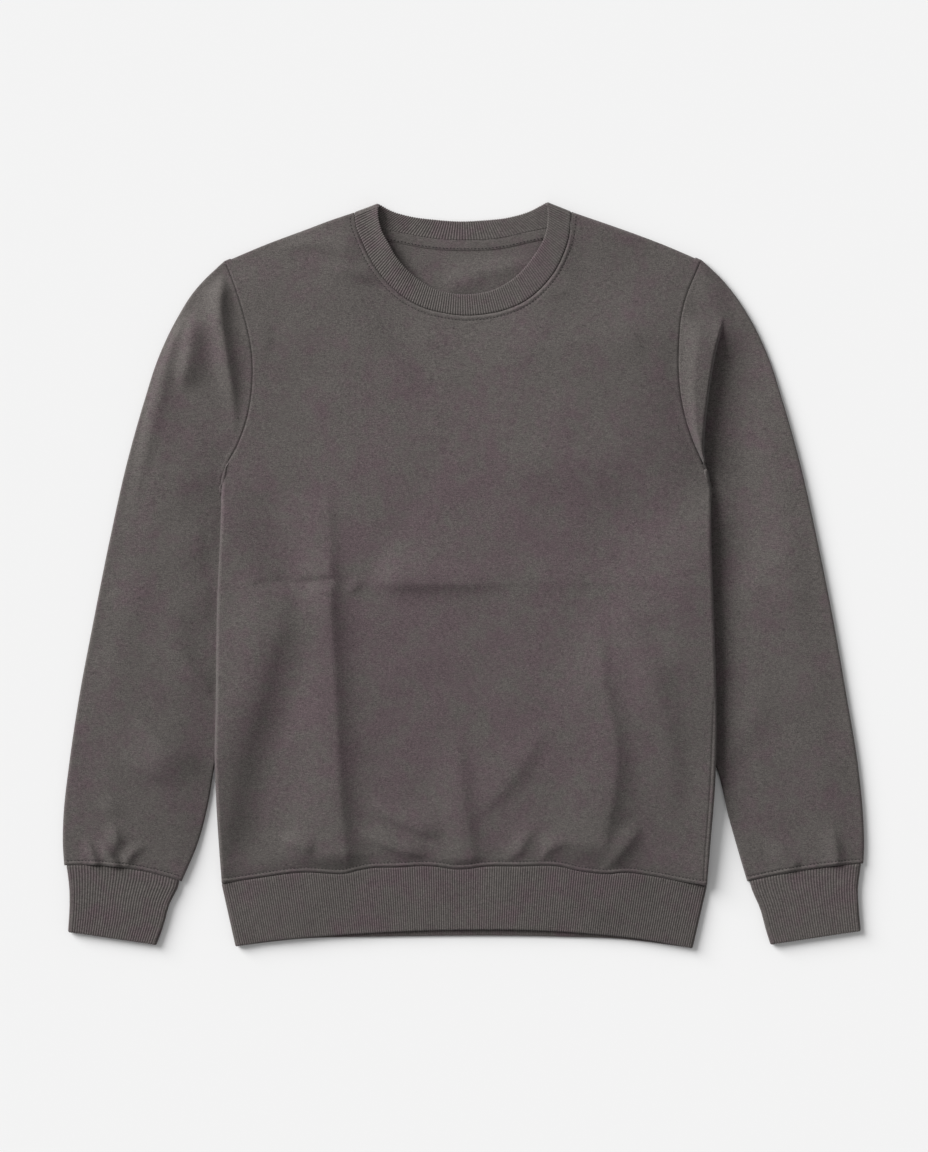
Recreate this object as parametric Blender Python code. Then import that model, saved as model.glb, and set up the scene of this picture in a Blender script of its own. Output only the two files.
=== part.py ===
"""Crewneck sweatshirt lying flat on its back, each cut-and-sewn piece a wall of cloth.

X runs across the chest, Y from the waistband to the neck and Z up from the surface
that the garment lies on. Sizes in this file are in millimetres; meshes are in metres.
"""

import math

import bmesh
import bpy
import numpy as np

MM = 0.001

# Cloth
FABRIC = 1.6  # fleece-backed jersey
RIB = 2.4  # rib bands, knitted double
TAPE = 1.0  # neck tape
SEAM = 0.3  # gap kept where two pieces are sewn together

# Heights, outside to outside, of the garment lying flat
LOFT = 5.2  # body
BAND_LOFT = 6.0  # collar, cuffs and waistband
OUTER_FOLD = 4.8  # a sleeve at its outer edge
UNDER_BODY = 3.8  # a sleeve where the body lies on it
TUCK_LIFT = 4.8  # the body's underside where it lies on a sleeve
TUCK_MARGIN = 17.0  # the body stays up this far past a sleeve's inner fold
TUCK_SLOPE = 21.0  # and comes down over this distance
PUFF = 1.8  # extra height of a sleeve midway across
PUFF_SLOPE = 30.0  # and the distance over which it rises
UNDERARM_DROP = 14.0  # length of side edge over which the body climbs onto the sleeve
UNDERARM_Y = 68.0  # a sleeve is as low as UNDER_BODY up to here
UNDERARM_RISE = 32.0  # and as high as the body this much further up

# Ribs
RIB_RAISE = 0.35
WAIST_RIBS = 204
CUFF_RIBS = 38
COLLAR_FRONT_RIBS = 128
COLLAR_BACK_RIBS = 80

TAPE_WIDTH = 10.0
TAPE_INSET = 1.0  # from the back neck seam to the tape
COLLAR_CENTRE = (0.0, 345.0)
CUFF_GATHER = 2.5  # the sleeve's end is this much wider than its cuff, on each side

# How finely the pieces are divided
ROLL_STEPS = 3  # a quarter turn of cloth round an edge
ARMHOLE_STEPS = 10
UNDERARM_STEPS = 3
UNDERARM_LENGTH = 17.5  # stretch of armhole in which the edge starts to turn over
UNDERARM_GAP = 1.0  # more room where the turned edges of front, back and sleeve meet
SHOULDER_SHARES = (0, 0.12, 0.36, 0.68, 1)  # columns along a shoulder
SIDE_STARTS = (5.0, 10.0, 15.0)  # rows close together where the body climbs onto the sleeve
SIDE_STEPS = 10  # and further apart below
NECK_END_SHARES = (0, 0.02, 0.06)  # columns close together where a neckline meets a shoulder
FIRST_RING = 6.0  # a sleeve's second ring lies this far from the armhole
RING_SHARES = np.r_[0, 0.035, np.linspace(0.09, 1, 12)]  # the others, along its folds
ARMHOLE_REACH = 0.3  # share of a sleeve's length in which its plan eases out of the armhole's
HEIGHT_REACH = 0.12  # and in which its height does
CUFF_ROW_SHARES = (0.35, 1.0)  # rows of a cuff after the one at its seam
CUFF_STEPS = 9
EDGE_STEPS = 25  # points of a band's or collar's free edge

EDGE_RADIUS = LOFT / 2
QUARTER_TURN = math.pi / 2

# Outlines, each a row of (x, y) along the edge.
# Armhole seam, from the shoulder down to the underarm.
ARMHOLE = {
    "left": [(-225.1, 294.9), (-218, 277.4), (-211.4, 257.4), (-204.7, 232.8), (-200.9, 211.8),
             (-200, 190), (-201.9, 166.2), (-205.7, 147.2), (-216.1, 119.7), (-222.8, 107.8),
             (-226.6, 99.8), (-228.9, 91.2), (-229.4, 82.6)],
    "right": [(224.2, 295.9), (219, 283.9), (210.4, 262.2), (206.2, 245.1), (203.8, 218.5),
              (203.8, 187.1), (210.4, 147.2), (217.1, 127.3), (223.7, 112.1), (228.5, 100.7),
              (232.8, 91.2), (235, 82.6)],
}
# Side of the body, from the underarm down to the waistband seam.
SIDE_EDGE = {
    "left": [(-229.4, 82.6), (-229.9, 52.2), (-233.2, -23.8), (-234.6, -118.8),
             (-235.6, -180.5), (-234.2, -213.8), (-231.8, -256.5), (-229.4, -292.6)],
    "right": [(235, 82.6), (234.5, 52.2), (236.5, -23.8), (239.4, -118.8),
              (239.3, -167.2), (238, -203.3), (235.1, -240.3), (232.3, -276.4), (230.9, -294.5)],
}
# Shoulder, from the armhole to the collar.
SHOULDER = {
    "left": [(-226, 297.3), (-187.6, 313.5), (-147.7, 328.4), (-126.8, 336.3), (-104, 343.9)],
    "right": [(225.1, 298.3), (189.5, 313.5), (148.7, 328.7), (126.8, 336.3), (102.6, 344.6)],
}
# Collar seam, from the left shoulder to the right one.
NECK_FRONT = [(-104, 343.9), (-102.1, 330.6), (-97.4, 318.7), (-89.8, 302.1), (-79.3, 285.5),
              (-67, 271.7), (-51.8, 260.3), (-35.6, 252.7), (-18.5, 248.3), (0.5, 246),
              (19, 247), (41.3, 251.8), (58.4, 259.5), (73.6, 271.7), (86, 286.9),
              (94.5, 303.5), (99.3, 317.3), (101.6, 330.6), (102.6, 344.6)]
NECK_BACK = [(-104, 343.9), (-101.8, 338.2), (-95, 333), (-82, 329.3), (-60.3, 325.4),
             (-31.8, 320.1), (0.5, 318.2), (34.7, 320.1), (61, 325.9), (81, 330),
             (93.6, 333.7), (100.4, 338.9), (102.6, 344.6)]
# Free edge of the collar.
COLLAR_FRONT = [(-80.9, 352.4), (-80.3, 337), (-77.4, 326.3), (-71.7, 315.4), (-64.1, 302.1),
                (-53.7, 289.8), (-41.3, 279.3), (-26.1, 270.8), (-8.1, 266.6), (11.4, 266.6),
                (26.6, 269.8), (41.3, 277), (56.5, 289.8), (67.5, 304), (74.6, 315.4),
                (78.4, 326.3), (79.9, 338.2), (79.3, 353.8)]
COLLAR_BACK = [(-80.9, 352.4), (-68.9, 345.8), (-48.9, 340.1), (-26.1, 337.2), (-3.3, 335.7),
               (19, 336.7), (41.3, 339.1), (61.3, 344.6), (79.3, 353.8)]
# Waistband seam, and the two lower edges of the waistband.
WAIST_SEAM = [(-229.4, -292.6), (-198, -287.8), (-146, -282.4), (-90, -278.4), (-22.3, -276.4),
              (34.7, -276.4), (91.7, -278), (144, -282), (188, -288), (230.9, -294.5)]
WAIST_EDGE_FRONT = [(-216.1, -352.4), (-183.8, -347.3), (-136.3, -342.9), (-79.3, -339.1),
                    (-12.8, -336.6), (72.7, -337.2), (129.7, -341.1), (167.7, -345.3),
                    (217.1, -354.1)]
WAIST_EDGE_BACK = [(-216.1, -352.4), (-155.3, -345.5), (-79.3, -343.4), (91.7, -343.4),
                   (148.7, -345.5), (217.1, -354.1)]
# Sleeve folds, from the body down to the cuff seam.
SLEEVE_OUTER = {
    "left": [(-226, 297.3), (-241.8, 283.1), (-255.1, 268.8), (-272.2, 242.2), (-290.2, 204.2),
             (-302.6, 166.2), (-318.7, 109.2), (-335.8, 33.2), (-351, -42.8), (-365.3, -118.8),
             (-373.8, -175.8), (-379.9, -232.8), (-380.3, -254.6), (-379, -275.5)],
    "right": [(225.1, 298.3), (241.8, 283.1), (255.1, 267.9), (272.2, 242.2), (290.2, 204.2),
              (302.6, 166.2), (318.7, 109.2), (335.8, 33.2), (351, -42.8), (364.3, -118.8),
              (373.8, -175.8), (379.5, -232.8), (380.3, -256.5), (379.5, -273.6)],
}
SLEEVE_INNER = {
    "left": [(-231.5, 82.6), (-235, 64), (-231, 44), (-218, 20), (-201, -8), (-193, -34),
             (-197, -71), (-211.4, -118.8), (-236.1, -180.5), (-241.8, -213.8),
             (-251.3, -251.8), (-267.4, -290.7)],
    "right": [(236.5, 82.6), (240, 64), (236, 44), (224, 20), (206, -6), (191, -36),
              (190, -76), (204, -118.8), (241.2, -186.2), (251.3, -228),
              (259.8, -258.4), (269.3, -290.7)],
}
# Cuff edges, from the seam down to the wrist, and how far the seam bows towards the shoulder.
CUFF_OUTER = {
    "left": [(-375, -286), (-373.7, -300), (-373.6, -313.5), (-375, -338.7)],
    "right": [(376, -281), (374, -299.2), (374.8, -315.4), (376.7, -337.7)],
}
CUFF_INNER = {
    "left": [(-271.5, -297), (-278.3, -309.7), (-285.5, -334.4), (-291.6, -351)],
    "right": [(273.5, -297), (281.7, -316.3), (287.4, -337.2), (291.6, -350.6)],
}
CUFF_BOW = {"left": 5.5, "right": 2.5}

# Largest folds of the body's front and the sleeves' tops, each a straight soft ridge, or a
# trough where its height is negative: (x from, y from, x to, y to, half width, height).
BODY_FOLDS = [
    (-131, 71, -117, -262, 14, 1.5),
    (-90, 4, 48, 4, 12, 1.2),
    (-88, -14, 50, -14, 10, -1.1),
    (-80, -235, -30, -262, 12, 1.2),
    (3, -175, 12, -270, 14, 1.3),
    (139, -155, 142, -268, 13, 1.6),
    (70, -165, 15, -235, 14, 1.0),
]
SLEEVE_FOLDS = [
    (-226, 262, -214, 175, 9, -1.4),
    (-252, 258, -248, 210, 12, 1.0),
    (247, 230, 236, 110, 9, -1.4),
    (-330, -150, -250, -180, 12, -1.0),
]

SIGN = {"left": -1, "right": 1}


def soft(t):
    """A smooth step from 0 to 1 as t goes from 0 to 1."""
    t = np.clip(t, 0, 1)
    return t * t * (3 - 2 * t)


def unit(v):
    v = np.asarray(v, float)
    return v / np.maximum(np.linalg.norm(v, axis=-1, keepdims=True), 1e-9)


def lengths(points):
    """How far along a line each of its points is."""
    return np.r_[0, np.cumsum(np.linalg.norm(np.diff(points, axis=0), axis=1))]


def follow(points, shares):
    """Points at the given shares of the length of a line with straight runs."""
    along = lengths(points)
    return np.column_stack([np.interp(np.asarray(shares) * along[-1], along, column)
                            for column in np.asarray(points, float).T])


def smooth_line(points, shares):
    """Points at the given shares of the length of a curve through the given points."""
    points = np.array(points, float)
    along = lengths(points)
    slope = np.gradient(points, along, axis=0)
    fine = np.linspace(0, along[-1], 30 * len(points))
    i = np.clip(np.searchsorted(along, fine, "right") - 1, 0, len(points) - 2)
    span = (along[i + 1] - along[i])[:, None]
    s = (fine - along[i])[:, None] / span
    curve = ((1 + 2 * s) * (1 - s) ** 2 * points[i] + s * (1 - s) ** 2 * span * slope[i]
             + s * s * (3 - 2 * s) * points[i + 1] - s * s * (1 - s) * span * slope[i + 1])
    return follow(curve, shares)


def outward(points, away_from):
    """At each point of a line, the direction square to it that leads away from a place."""
    tangent = unit(np.gradient(points, axis=0))
    normal = np.column_stack([-tangent[:, 1], tangent[:, 0]])
    side = np.sum(normal * (points - np.asarray(away_from, float)), axis=1)
    return normal * np.where(side < 0, -1, 1)[:, None]


def sleeve_fold_x(side, y):
    """How far out the hidden inner fold of a sleeve is."""
    fold = smooth_line(SLEEVE_INNER[side], np.linspace(0, 1, 60))
    return SIGN[side] * np.interp(-y, -fold[:, 1], fold[:, 0])


def lift(x, y):
    """Height of the body's underside, which lies on the tucked sleeves at both sides."""
    height = np.zeros(np.shape(x))
    for side, sign in SIGN.items():
        over = soft((sign * x - sleeve_fold_x(side, y) + TUCK_MARGIN) / TUCK_SLOPE + 1)
        height += TUCK_LIFT * over * soft((ARMHOLE[side][-1][1] - y) / UNDERARM_DROP)
    return height


def folded(x, y, folds):
    """Height that a table of folds adds at x, y."""
    height = np.zeros(np.shape(x))
    for x0, y0, x1, y1, half_width, rise in folds:
        run = math.hypot(x1 - x0, y1 - y0)
        along = ((x - x0) * (x1 - x0) + (y - y0) * (y1 - y0)) / run
        across = ((x - x0) * (y1 - y0) - (y - y0) * (x1 - x0)) / run
        ends = soft(along / (2 * half_width)) * soft((run - along) / (2 * half_width))
        height += rise * ends * np.exp(-(across / half_width) ** 2)
    return height


def side_rows(side):
    """Points down a panel's side edge, and how much of a quarter turn the edge makes there."""
    curve = smooth_line(ARMHOLE[side], np.linspace(0, 1, 200))
    turning = UNDERARM_LENGTH / lengths(curve)[-1]
    shares = np.r_[np.linspace(0, 1 - turning, ARMHOLE_STEPS + 1)[:-1],
                   np.linspace(1 - turning, 1, UNDERARM_STEPS + 1)]
    armhole = follow(curve, shares)
    starts = np.array(SIDE_STARTS) / lengths(SIDE_EDGE[side])[-1]
    body_shares = np.r_[starts, np.linspace(starts[-1], 1, SIDE_STEPS + 1)[1:]]
    body = smooth_line(SIDE_EDGE[side], body_shares)
    turn = np.r_[np.zeros(ARMHOLE_STEPS), np.linspace(0, 1, UNDERARM_STEPS + 1) ** 1.6,
                 np.ones(len(body))]
    return np.vstack([armhole, body]), turn


def neck_shares(steps):
    """Where a neckline's columns are, as shares of its length."""
    ends = np.array(NECK_END_SHARES)
    middle = np.linspace(ends[-1], 1 - ends[-1], steps + 3 - 2 * len(ends))
    return np.r_[ends[:-1], middle, 1 - ends[-2::-1]]


def roll(turn):
    """Reach and drop of cloth that turns over an edge, at each step from where it starts."""
    turn = np.maximum(turn, 1e-3)[..., None]
    angle = turn * (QUARTER_TURN - SEAM / 2 / EDGE_RADIUS) * np.arange(ROLL_STEPS + 1) / ROLL_STEPS
    radius = EDGE_RADIUS / turn
    return radius * np.sin(angle), radius * (1 - np.cos(angle)), angle


def panel(neck, neck_steps, face):
    """Outer and inner points of the front (face 1) or the back (face -1) of the body.

    Also the directions that lead out of its side edges, where the sleeves start.
    """
    edges, turns, away, starts = {}, {}, {}, {}
    for side in SIGN:
        edges[side], turns[side] = side_rows(side)
        away[side] = outward(edges[side], (0, 0))
        starts[side] = edges[side] - away[side] * roll(turns[side])[0][:, -1:]
    left, right = starts["left"], starts["right"]

    # Shoulder, neckline and shoulder, with the shoulders turned over and the neckline flat.
    shoulders = [smooth_line(SHOULDER[s], SHOULDER_SHARES) for s in SIGN]
    neckline = smooth_line(neck, neck_shares(neck_steps))
    top_edge = np.vstack([shoulders[0], neckline[1:-1], shoulders[1][::-1]])
    shoulder_turn = np.ones(len(SHOULDER_SHARES))
    top_turn = np.r_[shoulder_turn, np.zeros(neck_steps - 1), shoulder_turn]
    top_away = outward(top_edge, (0, -1000))
    for end, side in ((0, "left"), (-1, "right")):
        top_away[end] = outward(shoulders[end], (0, 0))[0]
        top_edge[end] = starts[side][0] + top_away[end] * EDGE_RADIUS
    top = top_edge - top_away * roll(top_turn)[0][:, -1:]
    top[0], top[-1] = left[0], right[0]
    waist = smooth_line(WAIST_SEAM, np.linspace(0, 1, 100))
    bottom_x = np.linspace(left[-1, 0], right[-1, 0], len(top))
    bottom = np.column_stack([bottom_x, np.interp(bottom_x, waist[:, 0], waist[:, 1])])
    bottom[0], bottom[-1] = left[-1], right[-1]

    # A Coons patch between the four lines where the turned edges start.
    down = (lengths(edges["left"]) / lengths(edges["left"])[-1])[:, None]
    u_top = (top[:, 0] - top[0, 0]) / (top[-1, 0] - top[0, 0])
    u = (1 - down) * u_top + down * np.linspace(0, 1, len(top))
    u, v = u[..., None], down[..., None]
    flat = ((1 - v) * top + v * bottom + (1 - u) * left[:, None] + u * right[:, None]
            - (1 - u) * (1 - v) * top[0] - u * (1 - v) * top[-1]
            - (1 - u) * v * bottom[0] - u * v * bottom[-1])

    # The turned edges: extra columns at both sides and extra rows at the top.
    rows, columns = len(flat) + ROLL_STEPS, len(top) + 2 * ROLL_STEPS
    row, column = np.meshgrid(np.arange(rows), np.arange(columns), indexing="ij")
    i = np.clip(row - ROLL_STEPS, 0, None)
    j = np.clip(column - ROLL_STEPS, 0, len(top) - 1)
    plan, drop = flat[i, j], np.zeros((rows, columns))
    lean, angle = np.zeros((rows, columns, 2)), np.zeros((rows, columns))
    steps = {
        "left": np.clip(ROLL_STEPS - column, 0, None),
        "right": np.clip(column - ROLL_STEPS - len(top) + 1, 0, None),
        "top": np.clip(ROLL_STEPS - row, 0, None),
    }
    for name, step in steps.items():
        turn, direction = (top_turn[j], top_away[j]) if name == "top" else (
            turns[name][i], away[name][i])
        reach, fall, bend = (np.take_along_axis(a, step[..., None], -1) for a in roll(turn))
        plan = plan + direction * reach
        drop += fall[..., 0]
        lean += direction * np.sin(bend)
        angle += bend[..., 0]
    x, y = plan[..., 0], plan[..., 1]
    height = lift(x, y)
    if face > 0:
        height = height + LOFT + folded(x, y, BODY_FOLDS)
    outer = np.dstack([plan, height - face * drop])
    inner = outer - FABRIC * np.dstack([lean, face * np.cos(angle)])
    return outer, inner, away


def sleeve(side, front, back, away):
    """Outer and inner points of a sleeve, ring by ring, from the armhole to the cuff seam."""
    count = ROLL_STEPS + ARMHOLE_STEPS + UNDERARM_STEPS  # steps from fold to fold
    column = 0 if side == "left" else -1
    normals = np.vstack([np.repeat(away[side][:1], ROLL_STEPS, axis=0), away[side]])[:count + 1]
    normals = np.column_stack([normals, np.zeros(count + 1)])
    near_underarm = np.clip(np.arange(count + 1) - count + UNDERARM_STEPS + 1, 0, None)
    gap = (SEAM + UNDERARM_GAP * near_underarm / (UNDERARM_STEPS + 1))[:, None] * normals

    def armhole(surface):
        upper = front[surface][:count + 1, column] + gap
        lower = back[surface][:count + 1, column] + gap
        upper[[0, -1]] = (upper[[0, -1]] + lower[[0, -1]]) / 2
        return np.vstack([upper, lower[-2:0:-1]])

    folds = [smooth_line(table[side], RING_SHARES) for table in (SLEEVE_OUTER, SLEEVE_INNER)]
    body_x = np.array(ARMHOLE[side] + SIDE_EDGE[side][1:], float)
    outer, inner = [], []
    for share, a, b in zip(RING_SHARES, *folds):
        across = unit(b - a)
        upward = np.array([-across[1], across[0]]) * (1 if across[0] > 0 else -1)
        wide = np.linalg.norm(b - a)
        edge_a, edge_b = OUTER_FOLD / 2, UNDER_BODY / 2
        turn = np.linspace(0, QUARTER_TURN, ROLL_STEPS + 1)
        flat = np.linspace(edge_a, wide - edge_b, ARMHOLE_STEPS + 1)
        inset = np.r_[edge_a * (1 - np.cos(turn)), flat[1:],
                      wide - edge_b + edge_b * np.sin(turn[1:])]
        lean = np.r_[-np.cos(turn), np.zeros(ARMHOLE_STEPS - 1), 0, np.sin(turn[1:])]
        rise = np.r_[np.sin(turn), np.ones(ARMHOLE_STEPS), np.cos(turn[1:])]
        c = inset / wide
        bow = CUFF_BOW[side] * soft((share - 0.6) / 0.4) * 4 * c * (1 - c)
        plan = a + inset[:, None] * across + bow[:, None] * upward
        x, y = plan[:, 0], plan[:, 1]

        # Height of the top: puffed where it shows, low where the body lies on it.
        clear = SIGN[side] * (x - np.interp(-y, -body_x[:, 1], body_x[:, 0]))
        by_body = UNDER_BODY + (LOFT - UNDER_BODY) * soft((y - UNDERARM_Y) / UNDERARM_RISE)
        puff = (OUTER_FOLD - by_body) * (1 - c) + PUFF * soft(inset / PUFF_SLOPE)
        level = by_body + puff * soft(clear / PUFF_SLOPE)
        level = level + folded(x, y, SLEEVE_FOLDS) * soft(clear / 8) * soft(inset / 10)
        radius = np.where(c < 0.5, edge_a, edge_b)
        high = radius + (level - radius) * rise
        low = radius * (1 - rise)
        upper = np.column_stack([plan, high])
        lower = np.column_stack([plan, low])
        into = np.column_stack([lean[:, None] * across, rise])
        down = into * (1, 1, -1)
        outer.append(np.vstack([upper, lower[-2:0:-1]]))
        inner.append(np.vstack([upper - FABRIC * into, (lower - FABRIC * down)[-2:0:-1]]))

    # The first ring is the armhole itself, the second lies beside it, and the next ones
    # ease away from them.
    beside = np.clip(np.arange(count + 1) / (ROLL_STEPS + 2), 0, 1)[:, None]
    onward = np.r_[unit(folds[0][1] - folds[0][0]), 0]
    step = FIRST_RING * (beside * normals + (1 - beside) * onward)
    step = np.vstack([step, step[-2:0:-1]])
    for rings, seam in ((outer, armhole(0)), (inner, armhole(1))):
        change = seam - rings[0]
        inward = np.r_[np.arange(count + 1), np.arange(count - 1, 0, -1)] / count
        for k, share in enumerate(RING_SHARES):
            plan_ease = np.clip(1 - share / ARMHOLE_REACH, 0, 1) ** (2 + 6 * inward)
            height_ease = np.full(len(seam), 1 - soft(share / HEIGHT_REACH))
            rings[k] = rings[k] + change * np.column_stack([plan_ease, plan_ease, height_ease])
        rings.insert(1, seam + step)
    return np.array(outer), np.array(inner)


# Zones round a flattened tube, as the place where each ends: half a fold, top, fold, bottom.
ZONES = (0.04, 0.46, 0.54, 0.96, 1.0)


def stations(top, bottom, ribbed=None):
    """Places round a flattened tube, and how high a rib stands at each."""
    counts = (ROLL_STEPS, top, 2 * ROLL_STEPS, bottom, ROLL_STEPS)
    places, raised, start = [], [], 0.0
    for zone, (end, count) in enumerate(zip(ZONES, counts)):
        places.append(np.linspace(start, end, count, endpoint=False))
        crests = np.arange(count) % 2 if zone == ribbed else np.zeros(count)
        raised.append(RIB_RAISE * crests)
        start = end
    return np.concatenate(places), np.concatenate(raised)


def tube_row(top, bottom, height, places, out=None):
    """Outer points, and the directions that face out, of one row round a flattened tube.

    top and bottom are its upper and lower lines from the left fold to the right one.
    """
    out = out or (unit(top[0] - top[1]), unit(top[-1] - top[-2]))
    radius = height / 2
    points, normals = np.zeros((len(places), 3)), np.zeros((len(places), 3))
    a, b, c, d = ZONES[:4]
    fold_angle = {
        0: np.where(places < a, places / a, (places - 1) / (1 - d)) * QUARTER_TURN,
        1: (1 - 2 * (places - b) / (c - b)) * QUARTER_TURN,
    }
    at_fold = {0: (places < a) | (places > d), 1: (places > b) & (places < c)}
    for end, mask in at_fold.items():
        angle = fold_angle[end][mask]
        tip, way = top[-end], out[end]
        normals[mask] = np.column_stack([np.outer(np.cos(angle), way), np.sin(angle)])
        centre = np.r_[tip - way * radius, radius]
        points[mask] = centre + radius * normals[mask]
    for line, level, facing, mask, share in (
        (top, height, 1, (places >= a) & (places <= b), (places - a) / (b - a)),
        (bottom, 0, -1, (places >= c) & (places <= d), (d - places) / (d - c)),
    ):
        flat = np.array(line, float)
        flat[0], flat[-1] = flat[0] - out[0] * radius, flat[-1] - out[1] * radius
        plan = follow(flat, np.clip(share[mask], 0, 1))
        points[mask] = np.column_stack([plan, np.full(mask.sum(), level)])
        normals[mask] = (0, 0, facing)
    return points, normals


def band(rows, wall, outer_stations, inner_stations, out=None):
    """Outer and inner rows of points of a ribbed band, from rows of (top, bottom) lines."""
    surfaces = []
    for (places, raised), depth in ((outer_stations, 0), (inner_stations, wall)):
        surface = []
        for top, bottom in rows:
            points, normals = tube_row(top, bottom, BAND_LOFT, places, out)
            height = raised[:, None] if depth == 0 else -depth - raised[:, None]
            surface.append(points + height * normals)
        surfaces.append(np.array(surface))
    return surfaces


def grid_faces(first, rows, columns, closed):
    """Four-sided faces of a grid of points numbered from first, row by row."""
    number = first + np.arange(rows * columns).reshape(rows, columns)
    if closed:
        number = np.hstack([number, number[:, :1]])
    return [tuple(int(n) for n in (number[i, j], number[i, j + 1],
                                   number[i + 1, j + 1], number[i + 1, j]))
            for i in range(rows - 1) for j in range(number.shape[1] - 1)]


def zip_faces(a, a_places, b, b_places):
    """Triangles that join two closed rows of points with different numbers of points."""
    a, b = list(a) + [a[0]], list(b) + [b[0]]
    a_places, b_places = list(a_places) + [1.0], list(b_places) + [1.0]
    i = j = 0
    faces = []
    while i < len(a) - 1 or j < len(b) - 1:
        step_a = j == len(b) - 1 or (i < len(a) - 1 and a_places[i + 1] <= b_places[j + 1])
        if step_a:
            faces.append((a[i], a[i + 1], b[j]))
            i += 1
        else:
            faces.append((a[i], b[j + 1], b[j]))
            j += 1
    return faces


def make(name, points, faces, look, into):
    """A closed mesh object from points in millimetres."""
    mesh = bpy.data.meshes.new(name)
    mesh.from_pydata((np.vstack(points) * MM).tolist(), [], faces)
    bm = bmesh.new()
    bm.from_mesh(mesh)
    bmesh.ops.recalc_face_normals(bm, faces=bm.faces)
    bm.to_mesh(mesh)
    bm.free()
    mesh.shade_smooth()
    mesh.set_sharp_from_angle(angle=math.radians(40))
    mesh.materials.append(look)
    thing = bpy.data.objects.new(name, mesh)
    into.objects.link(thing)
    return thing


def make_tube(name, outer, inner, look, into, outer_places=None, inner_places=None):
    """A wall that closes round on itself and is open at both ends."""
    rows, columns = outer.shape[:2]
    inner_rows, inner_columns = inner.shape[:2]
    if outer_places is None:
        outer_places = inner_places = np.arange(columns) / columns
    first = rows * columns
    faces = grid_faces(0, rows, columns, True) + grid_faces(first, inner_rows, inner_columns, True)
    for outer_row, inner_row in ((0, 0), (rows - 1, inner_rows - 1)):
        faces += zip_faces(range(outer_row * columns, (outer_row + 1) * columns), outer_places,
                           range(first + inner_row * inner_columns,
                                 first + (inner_row + 1) * inner_columns), inner_places)
    return make(name, [outer.reshape(-1, 3), inner.reshape(-1, 3)], faces, look, into)


def make_sheet(name, outer, inner, look, into):
    """A wall with a rim all round."""
    rows, columns = outer.shape[:2]
    first = rows * columns
    number = np.arange(first).reshape(rows, columns)
    rim = np.r_[number[0], number[1:, -1], number[-1, -2::-1], number[-2:0:-1, 0]].tolist()
    faces = grid_faces(0, rows, columns, False) + grid_faces(first, rows, columns, False)
    faces += [(a, b, b + first, a + first) for a, b in zip(rim, rim[1:] + rim[:1])]
    return make(name, [outer.reshape(-1, 3), inner.reshape(-1, 3)], faces, look, into)


def cloth(name, colour, roughness):
    look = bpy.data.materials.new(name)
    look.use_nodes = True
    shader = look.node_tree.nodes["Principled BSDF"]
    shader.inputs["Base Color"].default_value = (*colour, 1)
    shader.inputs["Roughness"].default_value = roughness
    shader.inputs["Metallic"].default_value = 0
    look.diffuse_color = (*colour, 1)
    return look


def make_cuff(side, last_ring, look, into):
    """A cuff that starts at the sleeve's last ring and ends at the wrist."""
    folds = ROLL_STEPS + ARMHOLE_STEPS + UNDERARM_STEPS
    end = last_ring[:folds + 1, :2]
    span = np.linalg.norm(end[-1] - end[0])
    trim = CUFF_GATHER / span
    across = unit(end[-1] - end[0])
    down = np.array([across[1], -across[0]]) * (1 if across[0] > 0 else -1)
    seam = follow(end, np.linspace(trim, 1 - trim, CUFF_STEPS)) + SEAM * down
    rows = [(seam, seam)]
    for share in CUFF_ROW_SHARES:
        a = smooth_line([seam[0]] + CUFF_OUTER[side], [share])[0]
        b = smooth_line([seam[-1]] + CUFF_INNER[side], [share])[0]
        line = follow(np.array([a, b]), np.linspace(0, 1, CUFF_STEPS))
        rows.append((line, line))
    outer_stations = stations(top=2 * CUFF_RIBS, bottom=10, ribbed=1)
    inner_stations = stations(top=12, bottom=10)
    if side == "right":  # tube rows run from left to right
        rows = [(top[::-1], bottom[::-1]) for top, bottom in rows]
    outer, inner = band(rows, RIB, outer_stations, inner_stations)
    make_tube(f"cuff_{side}", outer, inner, look, into, outer_stations[0], inner_stations[0])


def make_waistband(front_edge, look, into):
    """The hem band, from the body's lower edge down."""
    seam = front_edge - (0, SEAM)
    shares = np.linspace(0, 1, EDGE_STEPS)
    rows = [(seam, seam),
            (smooth_line(WAIST_EDGE_FRONT, shares), smooth_line(WAIST_EDGE_BACK, shares))]
    outer_stations = stations(top=2 * WAIST_RIBS, bottom=16, ribbed=1)
    inner_stations = stations(top=20, bottom=16)
    outer, inner = band(rows, RIB, outer_stations, inner_stations)
    make_tube("waistband", outer, inner, look, into, outer_stations[0], inner_stations[0])


def neck_edge(surface, neck_steps):
    """The plan of a panel's neckline, from shoulder to shoulder."""
    first = ROLL_STEPS + len(SHOULDER_SHARES) - 1
    return surface[0, first:first + neck_steps + 1, :2]


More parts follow.
